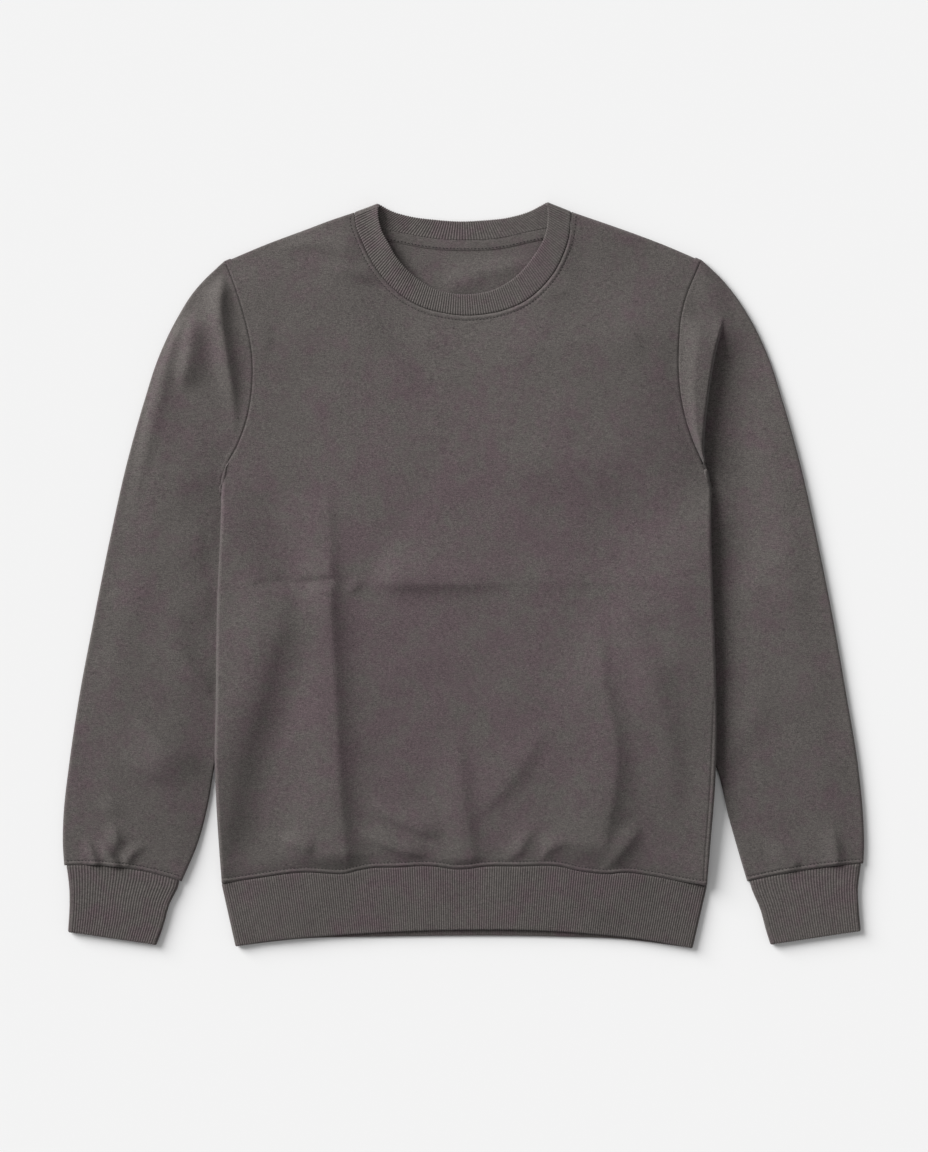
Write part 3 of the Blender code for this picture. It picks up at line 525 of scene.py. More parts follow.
# %% Top edge of a panel
CORNER = 10  # stretch from a neck corner in which the edge's turn runs out
NECK_BLEND = 70  # and in which the neckline's direction swings to straight up
NECK_TURN, CORNER_TURN = 2.2, 1.3  # how far the edge reaches up there


def in_order(places, apart=0.3):
    """Places pushed on where needed, so that each is a least step beyond the one before."""
    step = apart * np.arange(len(places))
    return np.maximum.accumulate(places - step) + step


def top_of_panel(neck, coarse, starts):
    """Points along a panel's top, and how far and in which direction they turn over its edge."""
    on_shoulder = shoulder_columns(coarse)
    shoulders = [smooth_line(SHOULDER[side], on_shoulder) for side in SIGN]
    edge = np.vstack([shoulders[0], neck_points(neck, coarse)[1:-1], shoulders[1][::-1]])
    along, corner = lengths(edge), len(on_shoulder) - 1
    from_corner = np.minimum(*(np.abs(along - along[place]) for place in (corner, -1 - corner)))
    number = np.arange(len(along))
    on_neckline = (number > corner) & (number < len(along) - 1 - corner)
    near_corner = soft(1 - from_corner / CORNER)
    turn = np.where(on_neckline, near_corner, 1.0)
    reach = roll(turn)[0][:, -1:]
    away = reach * np.where(on_neckline[:, None], -outward(edge, COLLAR_CENTRE),
                            outward(edge, (0, -1000)))
    blend = soft(from_corner / np.where(on_neckline, NECK_BLEND, CORNER))[:, None]
    upward = np.where(on_neckline, NECK_TURN + CORNER_TURN * near_corner, EDGE_RADIUS)
    away = blend * away + (1 - blend) * (0, 1) * upward[:, None]
    for end, side in ((0, "left"), (-1, "right")):
        away[end] = outward(shoulders[end], (0, 0))[0] * EDGE_RADIUS
        edge[end] = starts[side][0] + away[end]
    top = edge - away
    top[0], top[-1] = starts["left"][0], starts["right"][0]
    half = len(top) // 2
    top[:half, 0] = in_order(top[:half, 0])
    top[-half:, 0] = -in_order(-top[:-half - 1:-1, 0])[::-1]
    return top, turn, (edge - top) / reach


# %% Plan of a panel
NECK_SIDE, NECK_SIDE_REACH = 98, 45  # where the neckline is steep, left and right of its middle
CALM, CALM_STEP, CALM_SIDES = 14, 0.5, 60  # a bell curve's width, its step and its points a side
CALM_BY, EVEN_BY = 22, 80  # depths at which the rows are calmer and the columns spread
OWN_COLUMNS, OWN_FADE = 25, 90  # depth to which columns keep the neckline's places


def panel_plan(neck, coarse):
    """Plan of a panel's grid of points, and how its top and its sides turn over."""
    edges, turns, away, starts = {}, {}, {}, {}
    for side in SIGN:
        edges[side], turns[side] = side_rows(side)
        away[side] = outward(edges[side], (0, 0))
        starts[side] = edges[side] - away[side] * roll(turns[side])[0][:, -1:]
    left, right = starts["left"], starts["right"]
    top, top_turn, top_away = top_of_panel(neck, coarse, starts)
    wide = right[-1, 0] - left[-1, 0]
    u_bottom = spaced(wide, coarse, [(0, FINE, 3), (wide, FINE, 3)], steps=len(top) - 1)
    bottom_x = left[-1, 0] + wide * u_bottom
    hem = smooth_line(HEM_SEAM, np.linspace(0, 1, 400))
    bottom = np.column_stack([bottom_x, np.interp(bottom_x, *hem.T)])
    bottom[0], bottom[-1] = left[-1], right[-1]
    u_top = (top[:, 0] - top[0, 0]) / (top[-1, 0] - top[0, 0])
    print("columns in order:", bool((np.diff(u_top) > 0).all()))
    # The rows bend round the neck's steep sides at first and soon run on more evenly.
    depth = lengths(edges["left"])[:, None]
    down = depth / depth[-1]
    even_x = np.arange(top[0, 0], top[-1, 0], CALM_STEP)
    bell = np.exp(-(np.arange(-CALM_SIDES, CALM_SIDES + 1) * CALM_STEP / CALM) ** 2 / 2)
    even_y = np.pad(np.interp(even_x, *top.T), CALM_SIDES, mode="edge")
    even_y = np.convolve(even_y, bell / bell.sum(), "valid")
    near_neck = soft(2 - np.abs(np.abs(top[:, 0]) - NECK_SIDE) / NECK_SIDE_REACH)
    calmer = (np.interp(top[:, 0], even_x, even_y) - top[:, 1]) * near_neck
    spread = soft(depth / EVEN_BY)
    u = (1 - spread) * u_top + spread * u_bottom
    x = left[:, :1] + u * (right - left)[:, :1]
    x += near_neck * (1 - soft((depth - OWN_COLUMNS) / OWN_FADE)) * (top[:, 0] - x)
    top_y = top[:, 1] + calmer * (1 - np.exp(-depth / CALM_BY))
    y = ((1 - down) * top_y + down * bottom[:, 1] + (1 - u) * left[:, 1:] + u * right[:, 1:]
         - (1 - u) * ((1 - down) * top[0, 1] + down * bottom[0, 1])
         - u * ((1 - down) * top[-1, 1] + down * bottom[-1, 1]))
    return np.dstack([x, y]), (top_turn, top_away), (turns, away)


# %% Turned edges of a panel
def turned_edges(flat, top_turned, sides_turned):
    """Adds the rows and columns that turn over the panel's edges to its grid."""
    (top_turn, top_away), (turns, away) = top_turned, sides_turned
    rows, columns = flat.shape[0] + ROLL_STEPS, flat.shape[1] + 2 * ROLL_STEPS
    row, column = np.meshgrid(np.arange(rows), np.arange(columns), indexing="ij")
    i = np.clip(row - ROLL_STEPS, 0, None)
    j = np.clip(column - ROLL_STEPS, 0, flat.shape[1] - 1)
    plan, drop = flat[i, j], np.zeros((rows, columns))
    steps = {
        "left": np.clip(ROLL_STEPS - column, 0, None),
        "right": np.clip(column - ROLL_STEPS - flat.shape[1] + 1, 0, None),
        "top": np.clip(ROLL_STEPS - row, 0, None),
    }
    for name, step in steps.items():
        turn, direction = (top_turn[j], top_away[j]) if name == "top" else (
            turns[name][i], away[name][i])
        reach, fall = (np.take_along_axis(a, step[..., None], -1) for a in roll(turn))
        plan = plan + direction * reach
        drop += fall[..., 0]
    return plan, drop


# %% Heights of a panel
BACK_GRID = 5.4  # the back shows only inside the neck opening
HEM_CALM = 9  # creases die down this near the hem seam
TURNED_DOWN = 2.0  # and have ended where an edge has turned down this far
HEM_DIP, SIDE_DIP = 1.3, 0.8
CORNER_Y, CORNER_FADE = 334, 14  # the neck seam's roll runs out below the corners


def panel(neck, face, coarse=GRID):
    """Outer points of the front (face 1) or the back (face -1), without and with its seams."""
    flat, top_turned, sides_turned = panel_plan(neck, coarse)
    plan, drop = turned_edges(flat, top_turned, sides_turned)
    x, y = plan[..., 0], plan[..., 1]
    height = lift(x, y, face)
    if face < 0:
        plain = np.dstack([plan, height + drop])
        return plain, plain, sides_turned[1]
    hem_away = away_from(x, y, HEM_SEAM)
    calm = soft(1 - drop / TURNED_DOWN) * (0.3 + 0.7 * soft(hem_away / HEM_CALM))
    height = height + LOFT + calm * (creased(x, y, FRONT_CREASES)
                                     + uneven(x, y, 5, 80, 0.3) + uneven(x, y, 8, 30, 0.04))
    height -= (SHOULDER_DIP * np.exp(-(away_from(x, y, SHOULDER["left"]) / DIP_WIDTH) ** 2)
               * np.clip(1 - drop / (LOFT / 2), 0, 1))
    plain = np.dstack([plan, height - drop])
    sewn_up = plain.copy()
    arm_away = np.minimum(*(away_from(x, y, ARMHOLE[side]) for side in SIGN))
    below_corner = soft((CORNER_Y - y) / CORNER_FADE)
    sewn_up[..., 2] += (sewn(away_from(x, y, neck), 0.55, 0.4) * below_corner
                        + seam_line(arm_away)
                        + sewn(hem_away, 1.2, 0.5) - HEM_DIP * np.exp(-(hem_away / HEM_CALM) ** 2)
                        - SIDE_DIP * np.exp(-away_from(x, y, SIDE_SEAM) ** 2))
    return plain, sewn_up, sides_turned[1]


front_plain, front_points, away = panel(NECK_FRONT, 1)
back_plain, back_points, _ = panel(NECK_BACK, -1, coarse=BACK_GRID)
print("front grid:", front_points.shape[:2], " back grid:", back_points.shape[:2])

# %% [markdown]
# ## Looks
#
# Both cloths are melange: fibres of a warm grey and of a slightly green grey are spun together,
# so the colour drifts in soft clouds, and the fine yarns show as a grain that is a little
# longer along the rows of stitches. Effects that both cloths share are written once, as small
# node groups that give only values and colours. The materials put them together.

# %% Helpers for nodes
def fill(node, inputs):
    """Fills a node's inputs: one that is given a socket is linked, the others are set."""
    for name, value in inputs.items():
        if isinstance(value, bpy.types.NodeSocket):
            node.id_data.links.new(value, node.inputs[name])
        else:
            node.inputs[name].default_value = value
    return node


def add(tree, kind, inputs=None, **settings):
    """A new node with its settings and inputs."""
    new = tree.nodes.new(kind)
    for name, value in settings.items():
        setattr(new, name, value)
    return fill(new, inputs or {})


def maths(tree, operation, *values):
    """The result of one sum on sockets or numbers."""
    return add(tree, "ShaderNodeMath", dict(enumerate(values)), operation=operation).outputs[0]


def group(name, kind, given, made):
    """A new node group with named inputs and outputs: its tree, given sockets and end node."""
    tree = bpy.data.node_groups.new(name, kind)
    for in_out, sockets in (("INPUT", given), ("OUTPUT", made)):
        for socket_name, socket_type in sockets.items():
            tree.interface.new_socket(socket_name, in_out=in_out,
                                      socket_type="NodeSocket" + socket_type)
    return tree, tree.nodes.new("NodeGroupInput").outputs, tree.nodes.new("NodeGroupOutput")


# %% [markdown]
# Melange is made of noise at four sizes: clouds as wide as a hand, blotches as wide as a
# thumb, slubs (thick places in the yarn) and the grain of single stitches. The greener yarn
# shows more towards the shoulders and the sleeves. The group also paints shade: the cloth is
# a little darker towards the hem, and on the wearer's left, where it tones down the light on
# the body's raised side.

# %% Melange colour and painted shade
def melange_and_shade_group():
    tree, given, end = group(
        "melange_and_painted_shade", "ShaderNodeTree",
        {"Place": "Vector", "First Yarn": "Color", "Second Yarn": "Color", "Grain": "Float"},
        {"Color": "Color", "Height": "Float"})
    calc = partial(maths, tree)

    def cloud(scale, detail, stretch=(1, 1, 1), shift=0.0):
        place = add(tree, "ShaderNodeMapping", {"Vector": given["Place"], "Scale": stretch,
                                                "Location": (shift, 0, 0)})
        return add(tree, "ShaderNodeTexNoise", {"Vector": place.outputs[0], "Scale": scale,
                                                "Detail": detail, "Roughness": 0.6}).outputs[0]

    def ramp(value, from_low, from_high, to_low=0.0, to_high=1.0, kind="SMOOTHSTEP"):
        return add(tree, "ShaderNodeMapRange", {
            "Value": value, "From Min": from_low, "From Max": from_high, "To Min": to_low,
            "To Max": to_high}, clamp=True, interpolation_type=kind).outputs[0]

    clouds, blotches = cloud(26, 2.0), cloud(95, 2.0, shift=3.0)
    slubs, grain = cloud(560, 2.0, (0.55, 1.5, 1), 5.0), cloud(1200, 1.0, (0.85, 1.1, 1), 7.0)
    # which yarn shows
    from_chest = add(tree, "ShaderNodeVectorMath", {0: given["Place"], 1: (0, -0.05, 0)},
                     operation="DISTANCE").outputs["Value"]
    which = calc("ADD", calc("MULTIPLY_ADD", blotches, 0.8, clouds),
                 ramp(from_chest, 0.10, 0.30, 0.0, 0.2))
    yarn = add(tree, "ShaderNodeMix", {0: ramp(which, 0.78, 1.16, kind="LINEAR"),
                                       6: given["First Yarn"], 7: given["Second Yarn"]},
               data_type="RGBA").outputs[2]
    # how light it is: grain and blotches, times painted shade towards the hem and the wearer's
    # left
    fine = calc("MULTIPLY_ADD", slubs, 0.75, calc("MULTIPLY", grain, 1.15))
    rough = calc("MULTIPLY", calc("SUBTRACT", fine, 0.95), given["Grain"])
    wide = calc("MULTIPLY", calc("SUBTRACT", blotches, 0.5), 0.16)
    x_y = add(tree, "ShaderNodeSeparateXYZ", {0: given["Place"]}).outputs
    # painted shade: darker towards the hem, and on the wearer's left where the raised side catches
    # light
    hem = ramp(x_y["Y"], 0.12, -0.29, 1.0, 0.88)
    right = calc("MULTIPLY", ramp(x_y["X"], 0.02, 0.16, 0.0, -0.09), ramp(x_y["X"], 0.30, 0.22))
    painted_shade = calc("MULTIPLY", hem, calc("ADD", right, 1.0))
    tone = calc("MULTIPLY", painted_shade, calc("ADD", calc("ADD", rough, wide), 1.0))
    toned = add(tree, "ShaderNodeVectorMath", {0: yarn, "Scale": tone}, operation="SCALE")
    fill(end, {"Color": toned.outputs[0], "Height": fine})
    return tree


MELANGE_AND_SHADE = melange_and_shade_group()

# %% [markdown]
# Jersey is knitted in columns of small V-shaped stitches, called wales. Seen from the table's
# height they melt into a fine texture, but close up they catch the light. The V comes from
# the cloth's own coordinates: waves along the length whose start shifts with the distance
# from the middle of the wale. Each height is in the range of 0 to 1.

# %% Knit of the jersey
WALE, COURSE = 1.05, 0.85  # mm, width and length of one stitch
TURN = 2 * math.pi


def knit_group():
    tree, given, end = group("jersey knit", "ShaderNodeTree",
                             {"Cloth": "Vector", "Wale": "Float", "Course": "Float"},
                             {"Height": "Float"})
    calc = partial(maths, tree)
    u_v = add(tree, "ShaderNodeSeparateXYZ", {0: given["Cloth"]}).outputs
    from_middle = calc("PINGPONG", calc("DIVIDE", u_v["X"], given["Wale"]), 0.5)
    leg = calc("MULTIPLY_ADD", from_middle, 1.1, calc("DIVIDE", u_v["Y"], given["Course"]))
    loop = calc("SINE", calc("MULTIPLY", leg, TURN))
    gap = calc("SINE", calc("MULTIPLY", from_middle, TURN))
    fill(end, {"Height": calc("MULTIPLY_ADD", loop, 0.28, calc("MULTIPLY_ADD", gap, 0.4, 0.3))})
    return tree


JERSEY_KNIT = knit_group()

# %% Materials of cloth
BUMP_HEIGHT = 0.00022  # metres


def new_look(name):
    """A new material, its node tree and its shader."""
    look = bpy.data.materials.new(name)
    look.use_nodes = True
    return look, look.node_tree, look.node_tree.nodes["Principled BSDF"]


def cloth_look(name, yarns, grain, knit_depth, paint_groove_shade=False):
    """Melange cloth with knit and nap. Ribbed cloth gets painted shade in the grooves between
    ribs.
    """
    look, tree, shader = new_look(name)
    calc = partial(maths, tree)
    place = add(tree, "ShaderNodeTexCoord").outputs["Object"]
    yarn = add(tree, "ShaderNodeGroup", {
        "Place": place, "First Yarn": (*yarns[0], 1), "Second Yarn": (*yarns[1], 1),
        "Grain": grain}, node_tree=MELANGE_AND_SHADE).outputs
    cloth = add(tree, "ShaderNodeUVMap", uv_map="cloth").outputs[0]
    knit = add(tree, "ShaderNodeGroup", {"Cloth": cloth, "Wale": WALE * MM, "Course": COURSE * MM},
               node_tree=JERSEY_KNIT).outputs
    height = calc("ADD", knit["Height"], calc("MULTIPLY", yarn["Height"], 0.9))
    colour = yarn["Color"]
    if paint_groove_shade:
        # painted shade: darker in the grooves between ribs, a little lighter on the ribs
        count = add(tree, "ShaderNodeAttribute", attribute_name="rib").outputs["Fac"]
        groove = calc("MULTIPLY_ADD", calc("COSINE", calc("MULTIPLY", count, TURN)), 0.5, 0.5)
        shade = calc("MULTIPLY_ADD", calc("POWER", groove, 1.5), -0.46, 1.17)
        colour = add(tree, "ShaderNodeVectorMath", {0: colour, "Scale": shade},
                     operation="SCALE").outputs[0]
    raised = add(tree, "ShaderNodeBump", {"Height": height, "Distance": BUMP_HEIGHT,
                                          "Strength": knit_depth}).outputs[0]
    fill(shader, {"Base Color": colour, "Normal": raised,
                  "Roughness": calc("MULTIPLY_ADD", yarn["Height"], 0.06, 0.86),
                  "Specular IOR Level": 0.25, "Sheen Weight": 0.12, "Sheen Roughness": 0.5})
    return look


GREY_YARNS = (0.1145, 0.0853, 0.0922), (0.1105, 0.0990, 0.0935)  # warm and greenish
# painted shade: the thread is far darker than the cloth, for the shade in the needle holes
THREAD_AND_HOLE_SHADE_YARNS = (0.026, 0.021, 0.023), (0.025, 0.022, 0.021)
FLEECE = cloth_look("fleece", GREY_YARNS, 1.45, 0.8)
RIB_KNIT = cloth_look("rib knit", GREY_YARNS, 1.25, 0.5, paint_groove_shade=True)
THREAD_AND_HOLE_SHADE = cloth_look("thread_and_painted_hole_shade", THREAD_AND_HOLE_SHADE_YARNS, 0.4, 0.2)
print("looks:", [look.name for look in bpy.data.materials])

# %% [markdown]
# ## Walls of cloth
#
# A surface alone has no thickness. Each grid gets an inner side, moved in along its own
# normals, and rims that join the two, so that the mesh is closed all round. The grid also
# carries a UV map in metres of cloth, which the knit follows.

# %% Normals and cloth coordinates of a grid
def grid_normals(points, upward=None, closed=False):
    """Unit normals of a grid of points, turned to a reference direction."""
    around = np.concatenate([points[:, -1:], points, points[:, :1]], axis=1) if closed else points
    across = np.gradient(around, axis=1)
    across = across[:, 1:-1] if closed else across
    normal = unit(np.cross(across, np.gradient(points, axis=0)))
    if upward is not None and (normal[..., 2] * upward).sum() < 0:
        normal = -normal
    return normal


def cloth_uv(points, closed=False):
    """Cloth coordinates in metres: mean length along the columns and along the rows."""
    if closed:
        points = np.concatenate([points, points[:, :1]], axis=1)
    along_rows = np.linalg.norm(np.diff(points, axis=1), axis=2).mean(axis=0)
    down = np.linalg.norm(np.diff(points, axis=0), axis=2).mean(axis=1)
    u, v = np.r_[0, np.cumsum(along_rows)], -np.r_[0, np.cumsum(down)]
    return np.dstack(np.meshgrid(u, v)) * MM


def quads_of(grid):
    """The four corners of each cell of a grid, of numbers or of cloth coordinates."""
    corners = np.stack([grid[:-1, :-1], grid[:-1, 1:], grid[1:, 1:], grid[1:, :-1]], axis=2)
    return corners.reshape((-1, 4) + grid.shape[2:])


# %% Meshes from grids
def put(name, data):
    """A new object in the scene."""
    thing = bpy.data.objects.new(name, data)
    bpy.context.scene.collection.objects.link(thing)
    return thing


def make(name, points, quads, uv, look, rib=None):
    """A closed mesh object from points in millimetres, four-sided faces and their corners' UV."""
    mesh = bpy.data.meshes.new(name)
    mesh.from_pydata((points * MM).tolist(), [], quads.tolist())
    mesh.uv_layers.new(name="cloth").data.foreach_set("uv", uv.astype(np.float32).ravel())
    if rib is not None:
        mesh.attributes.new("rib", "FLOAT", "POINT").data.foreach_set("value", rib.ravel())
    bm = bmesh.new()
    bm.from_mesh(mesh)
    bmesh.ops.recalc_face_normals(bm, faces=bm.faces)
    open_edges = sum(len(edge.link_faces) != 2 for edge in bm.edges)
    bm.to_mesh(mesh)
    bm.free()
    mesh.shade_smooth()
    mesh.set_sharp_from_angle(angle=math.radians(80))
    mesh.materials.append(look)
    print(f"{name}: {len(quads) * 2} triangles, {open_edges} open edges")
    return put(name, mesh)


def wall(name, outer, inner, look, closed=False):
    """A wall between two grids of points, open at its edges and closed by rims."""
    rows, columns = outer.shape[:2]
    first = rows * columns
    uv = cloth_uv(outer, closed)
    number = np.arange(first).reshape(rows, columns)
    if closed:
        number = np.hstack([number, number[:, :1]])
    rims = [(number[0], uv[0]), (number[-1], uv[-1])]
    if not closed:
        rims += [(number[:, 0], uv[:, 0]), (number[:, -1], uv[:, -1])]
    quads = [quads_of(number), quads_of(number + first)]
    corners = [quads_of(uv)] * 2
    for line, line_uv in rims:
        quads.append(quads_of(np.stack([line, line + first])))
        corners.append(quads_of(np.stack([line_uv, line_uv])))
    points = np.vstack([outer.reshape(-1, 3), inner.reshape(-1, 3)])
    return make(name, points, np.vstack(quads), np.vstack(corners), look)


# %% Front and back
BELOW_TAPE, TAPE_FADE = 304, 14  # the back is smooth where the tape lies on it
TURNED_UP = 1.5  # its folds have ended where its edge has turned up this far
THICKER = 0.5  # its inner side stands a little higher
front_inner = front_points - FABRIC * grid_normals(front_points, 1)
back_inner = back_points - FABRIC * grid_normals(back_points, -1)
x, y, z = np.moveaxis(back_points, -1, 0)
in_opening = soft(1 - (z - lift(x, y)) / TURNED_UP) * soft((BELOW_TAPE - y) / TAPE_FADE)
folds = uneven(x, y, 21, 60, 0.5) + creased(x, y, BACK_CREASES)
back_inner[..., 2] += in_opening * (folds + THICKER)
back_inner[..., 2] = np.maximum(back_inner[..., 2], OVER_TABLE)
body_front = wall("body_front.cloth", front_points, front_inner, FLEECE)
body_back = wall("body_back.cloth", back_points, back_inner, FLEECE)

# %% [markdown]
# ## Sleeves
#
# A sleeve is one piece of cloth sewn into a tube and pressed flat: a top, a bottom and two
# folds. It starts exactly on the armhole that front and back leave open, so its first ring
# is taken from their edges, and the next rings ease away to the sleeve's own straight plan.
# The lower half of each sleeve lies partly under the body, where it is pressed thin.

# %% Rings of a sleeve
SLEEVE_LENGTH = 600.0
BESIDE = 6.0  # the ring that follows the armhole lies this far from it
EASED_AT = 0.035  # share of the length at which the sleeve's own rings begin
ARMHOLE_REACH = 0.3  # and at which they no longer follow the armhole
HEIGHT_REACH = (0.12, 0.04)  # the same for their height, at the outer and the inner fold
RING_PLACES = {
    side: spaced(SLEEVE_LENGTH, coarse, [(0, FINE, 4), underarm, (SLEEVE_LENGTH, FINE, 7)])
    for side, coarse, underarm in (("left", 3.4, (30, 2.1, 30)), ("right", 3.6, (27, 1.1, 12)))
}
FLAT_STEPS = ARMHOLE_STEPS - ROLL_STEPS
HALF_ROUND = 2 * ROLL_STEPS + FLAT_STEPS  # steps from fold to fold


def ring_plan(side, share):
    """Plan of one ring from fold to fold, with each point's inset, rise and share across."""
    a, b = (smooth_line(table[side], [share])[0] for table in (SLEEVE_OUTER, SLEEVE_INNER))
    across, wide = unit(b - a), np.linalg.norm(b - a)
    upward = np.array([-across[1], across[0]]) * (1 if across[0] > 0 else -1)
    edge_a, edge_b = OUTER_FOLD / 2, UNDER_BODY / 2
    turn = np.linspace(0, QUARTER_TURN, ROLL_STEPS + 1)
    flat = np.linspace(edge_a, wide - edge_b, FLAT_STEPS + 1)
    inset = np.r_[edge_a * (1 - np.cos(turn)), flat[1:], wide - edge_b + edge_b * np.sin(turn[1:])]
    rise = np.r_[np.sin(turn), np.ones(FLAT_STEPS), np.cos(turn[1:])]
    c = inset / wide
    bow = CUFF_BOW[side] * soft((share - 0.6) / 0.4) * 4 * c * (1 - c)
    plan = a + inset[:, None] * across + bow[:, None] * upward
    return plan, inset, rise, c


print("rings:", {s: len(places) for s, places in RING_PLACES.items()}, "of", 2 * HALF_ROUND)


# %% Height of a sleeve's top
CARRIED, CARRIED_FADE, CARRIED_WIDTH = 95, 20, 5  # the underarm, where the body rests on it
TUCK_GAP = 0.4  # between the sleeve and the body on it


def sleeve_level(side, x, y, inset, c):
    """Height of a sleeve's top: thin under the body, and fuller further out."""
    body = np.array(ARMHOLE[side] + SIDE_EDGE[side][1:], float)
    clear = SIGN[side] * (x - np.interp(-y, -body[:, 1], body[:, 0]))
    by_body = UNDER_BODY + (LOFT - UNDER_BODY) * soft((y - UNDERARM_Y) / UNDERARM_RISE)
    carries = ((1 - soft((clear + CARRIED_WIDTH) / CARRIED_WIDTH))
               * soft((CARRIED - y) / CARRIED_FADE))
    by_body += carries * np.maximum(lift(x, y) - TUCK_GAP - by_body, 0)
    puff = (OUTER_FOLD - by_body) * (1 - c) + SLEEVE_PUFF * soft(inset / PUFF_SLOPE)
    level = by_body + puff * soft(clear / PUFF_SLOPE)
    waves = uneven(x, y, 11 + SIGN[side], 64, 0.3) + uneven(x, y, 14 + SIGN[side], 28, 0.04)
    creases = creased(x, y, SLEEVE_CREASES[side]) + waves
    return level + creases * soft(clear / 10) * soft(inset / 12)


# %% The strip that folds over
STARTS_IN, ENDS_IN = 36, 110  # stretches of the fold's edge in which the strip comes and goes
STEP = 1.5  # how wide the step at its edge is
STRIP_Y, STRIP_FADE = 92, 22  # where the strip slips under the body
LOW_FOR, BACK_UP_IN = 20, 60  # width of the low cloth beside it, and of its way back up
OVERHANG, OVERHANG_WIDTH = 1.2, 1.7


def folded(x, y, high, clear):
    """Height and sideways push of the right sleeve's top, where a strip folds over the rest."""
    s, share, total = to_line(x, y, FOLD_LINE)
    start = soft(share * total / STARTS_IN)
    across = clear / np.maximum(clear - s, 0.5)
    strip = (start * soft(-(s + 0.4) / STEP) * soft((y - STRIP_Y) / STRIP_FADE)
             * soft(1.8 * across))
    high = high + strip * np.maximum(FOLDED_OVER - 0.5 * bump(s, 0, 5) - high, 0)
    under = start * soft((s + 0.6) / STEP) * (1 - soft((s - LOW_FOR) / BACK_UP_IN))
    push = start * soft((1 - share) * total / ENDS_IN) * OVERHANG * bump(s, -0.9, OVERHANG_WIDTH)
    return high - under * np.maximum(high - FOLDED_UNDER, 0), push


# %% Plan of a whole sleeve
def sleeve_plan(side, armhole, normals):
    """Plan, inset, rise and share across of all rings, eased from the armhole's line."""
    place = np.arange(HALF_ROUND + 1)
    at_outer = np.clip(1 - place / (ROLL_STEPS + 8), 0, 1)[:, None]
    at_inner = soft(1.25 - (HALF_ROUND - place) / 24)[:, None]
    outer, inner = (unit(np.subtract(fold[side][1], fold[side][0]))
                    for fold in (SLEEVE_OUTER, SLEEVE_INNER))
    beside_it = armhole + BESIDE * unit(at_outer * outer + at_inner * inner
                                        + (1 - at_outer - at_inner) * normals)
    eased_from = armhole - ring_plan(side, 0.0)[0]
    power = 2 + 6 * (place / HALF_ROUND)

    def own_ring(share):
        plan, *rest = ring_plan(side, share)
        return plan + eased_from * (max(1 - share / ARMHOLE_REACH, 0) ** power)[:, None], rest

    rings = []
    for far in RING_PLACES[side] * SLEEVE_LENGTH:
        share = far / SLEEVE_LENGTH
        plan, rest = own_ring(share)
        if share < EASED_AT:
            t = max(far - BESIDE, 0) / (EASED_AT * SLEEVE_LENGTH - BESIDE)
            plan = (armhole * max(1 - far / BESIDE, 0)
                    + beside_it * (min(far / BESIDE, 1) - t) + own_ring(EASED_AT)[0] * t)
        rings.append(np.column_stack([plan, *rest]))
    return np.array(rings)


# %% A whole sleeve
WIDER, WIDER_STEPS = 0.8, 9  # the seam's gap opens at the underarm
LEAST_DEPTH = 3.3  # from a sleeve's top down to its bottom, where the table lets it


def sleeve(side):
    """Outer points of a sleeve, ring by ring, from the armhole to the cuff seam."""
    column, count = 0 if side == "left" else -1, HALF_ROUND
    place = np.arange(count + 1)
    normals = np.vstack([np.repeat(away[side][:1], ROLL_STEPS, axis=0), away[side]])[:count + 1]
    gap = SEAM + WIDER * np.clip((place - count + WIDER_STEPS) / WIDER_STEPS, 0, 1)
    gap = (gap[:, None] * normals) @ np.eye(2, 3)
    upper, lower = (grid[:count + 1, column] + gap for grid in (front_plain, back_plain))
    upper[[0, -1]] = lower[[0, -1]] = (upper[[0, -1]] + lower[[0, -1]]) / 2
    x, y, inset, rise, c = np.moveaxis(sleeve_plan(side, upper[:, :2], normals), -1, 0)
    level = sleeve_level(side, x, y, inset, c)
    radius = np.where(c < 0.5, OUTER_FOLD / 2, UNDER_BODY / 2)
    high, low = radius + (level - radius) * rise, radius * (1 - rise)
    height_reach = np.interp(place / count, (0.8, 0.97), HEIGHT_REACH)
    ease = 1 - soft(RING_PLACES[side][:, None] / height_reach)
    high = high + (upper[:, 2] - high[0]) * ease
    low = low + (lower[:, 2] - low[0]) * ease
    from_armhole, push = away_from(x, y, ARMHOLE[side]), 0
    if side == "right":
        high, push = folded(x, y, high, from_armhole)
    low = np.clip(high - LEAST_DEPTH * rise, 0, low)
    cuff_seam = np.column_stack([x[-1], y[-1]])
    from_cuff = away_from(x, y, cuff_seam[::6])
    high += rise * (seam_line(from_armhole) + sewn(from_cuff, 0.9))
    top, bottom = np.dstack([x + push, y, high]), np.dstack([x, y, low])
    return np.concatenate([top, bottom[:, -2:0:-1]], axis=1)


sleeve_points = {side: sleeve(side) for side in SIGN}
sleeve_pieces = {}
for side, points in sleeve_points.items():
    normal = grid_normals(points, closed=True)
    top_part = normal[:, ROLL_STEPS:HALF_ROUND - ROLL_STEPS, 2].sum()
    normal = normal if top_part > 0 else -normal
    inner = points - FABRIC * normal
    inner[..., 2] = np.maximum(inner[..., 2], OVER_TABLE)
    sleeve_pieces[side] = wall(f"sleeve_{side}.cloth", points, inner, FLEECE, closed=True)

# %% [markdown]
# ## Rib bands
#
# Collar, cuffs and hem band are rib knit, folded double so that the free edge is a fold.
# Each band is a flattened tube whose wall has a closed profile: out along the outer face,
# round the fold and back inside. Every point also stores how many ribs lie before it, and
# a Geometry Nodes tree raises the ribs from that number. The ribs follow a rule, so one
# tree does the work for all four bands.

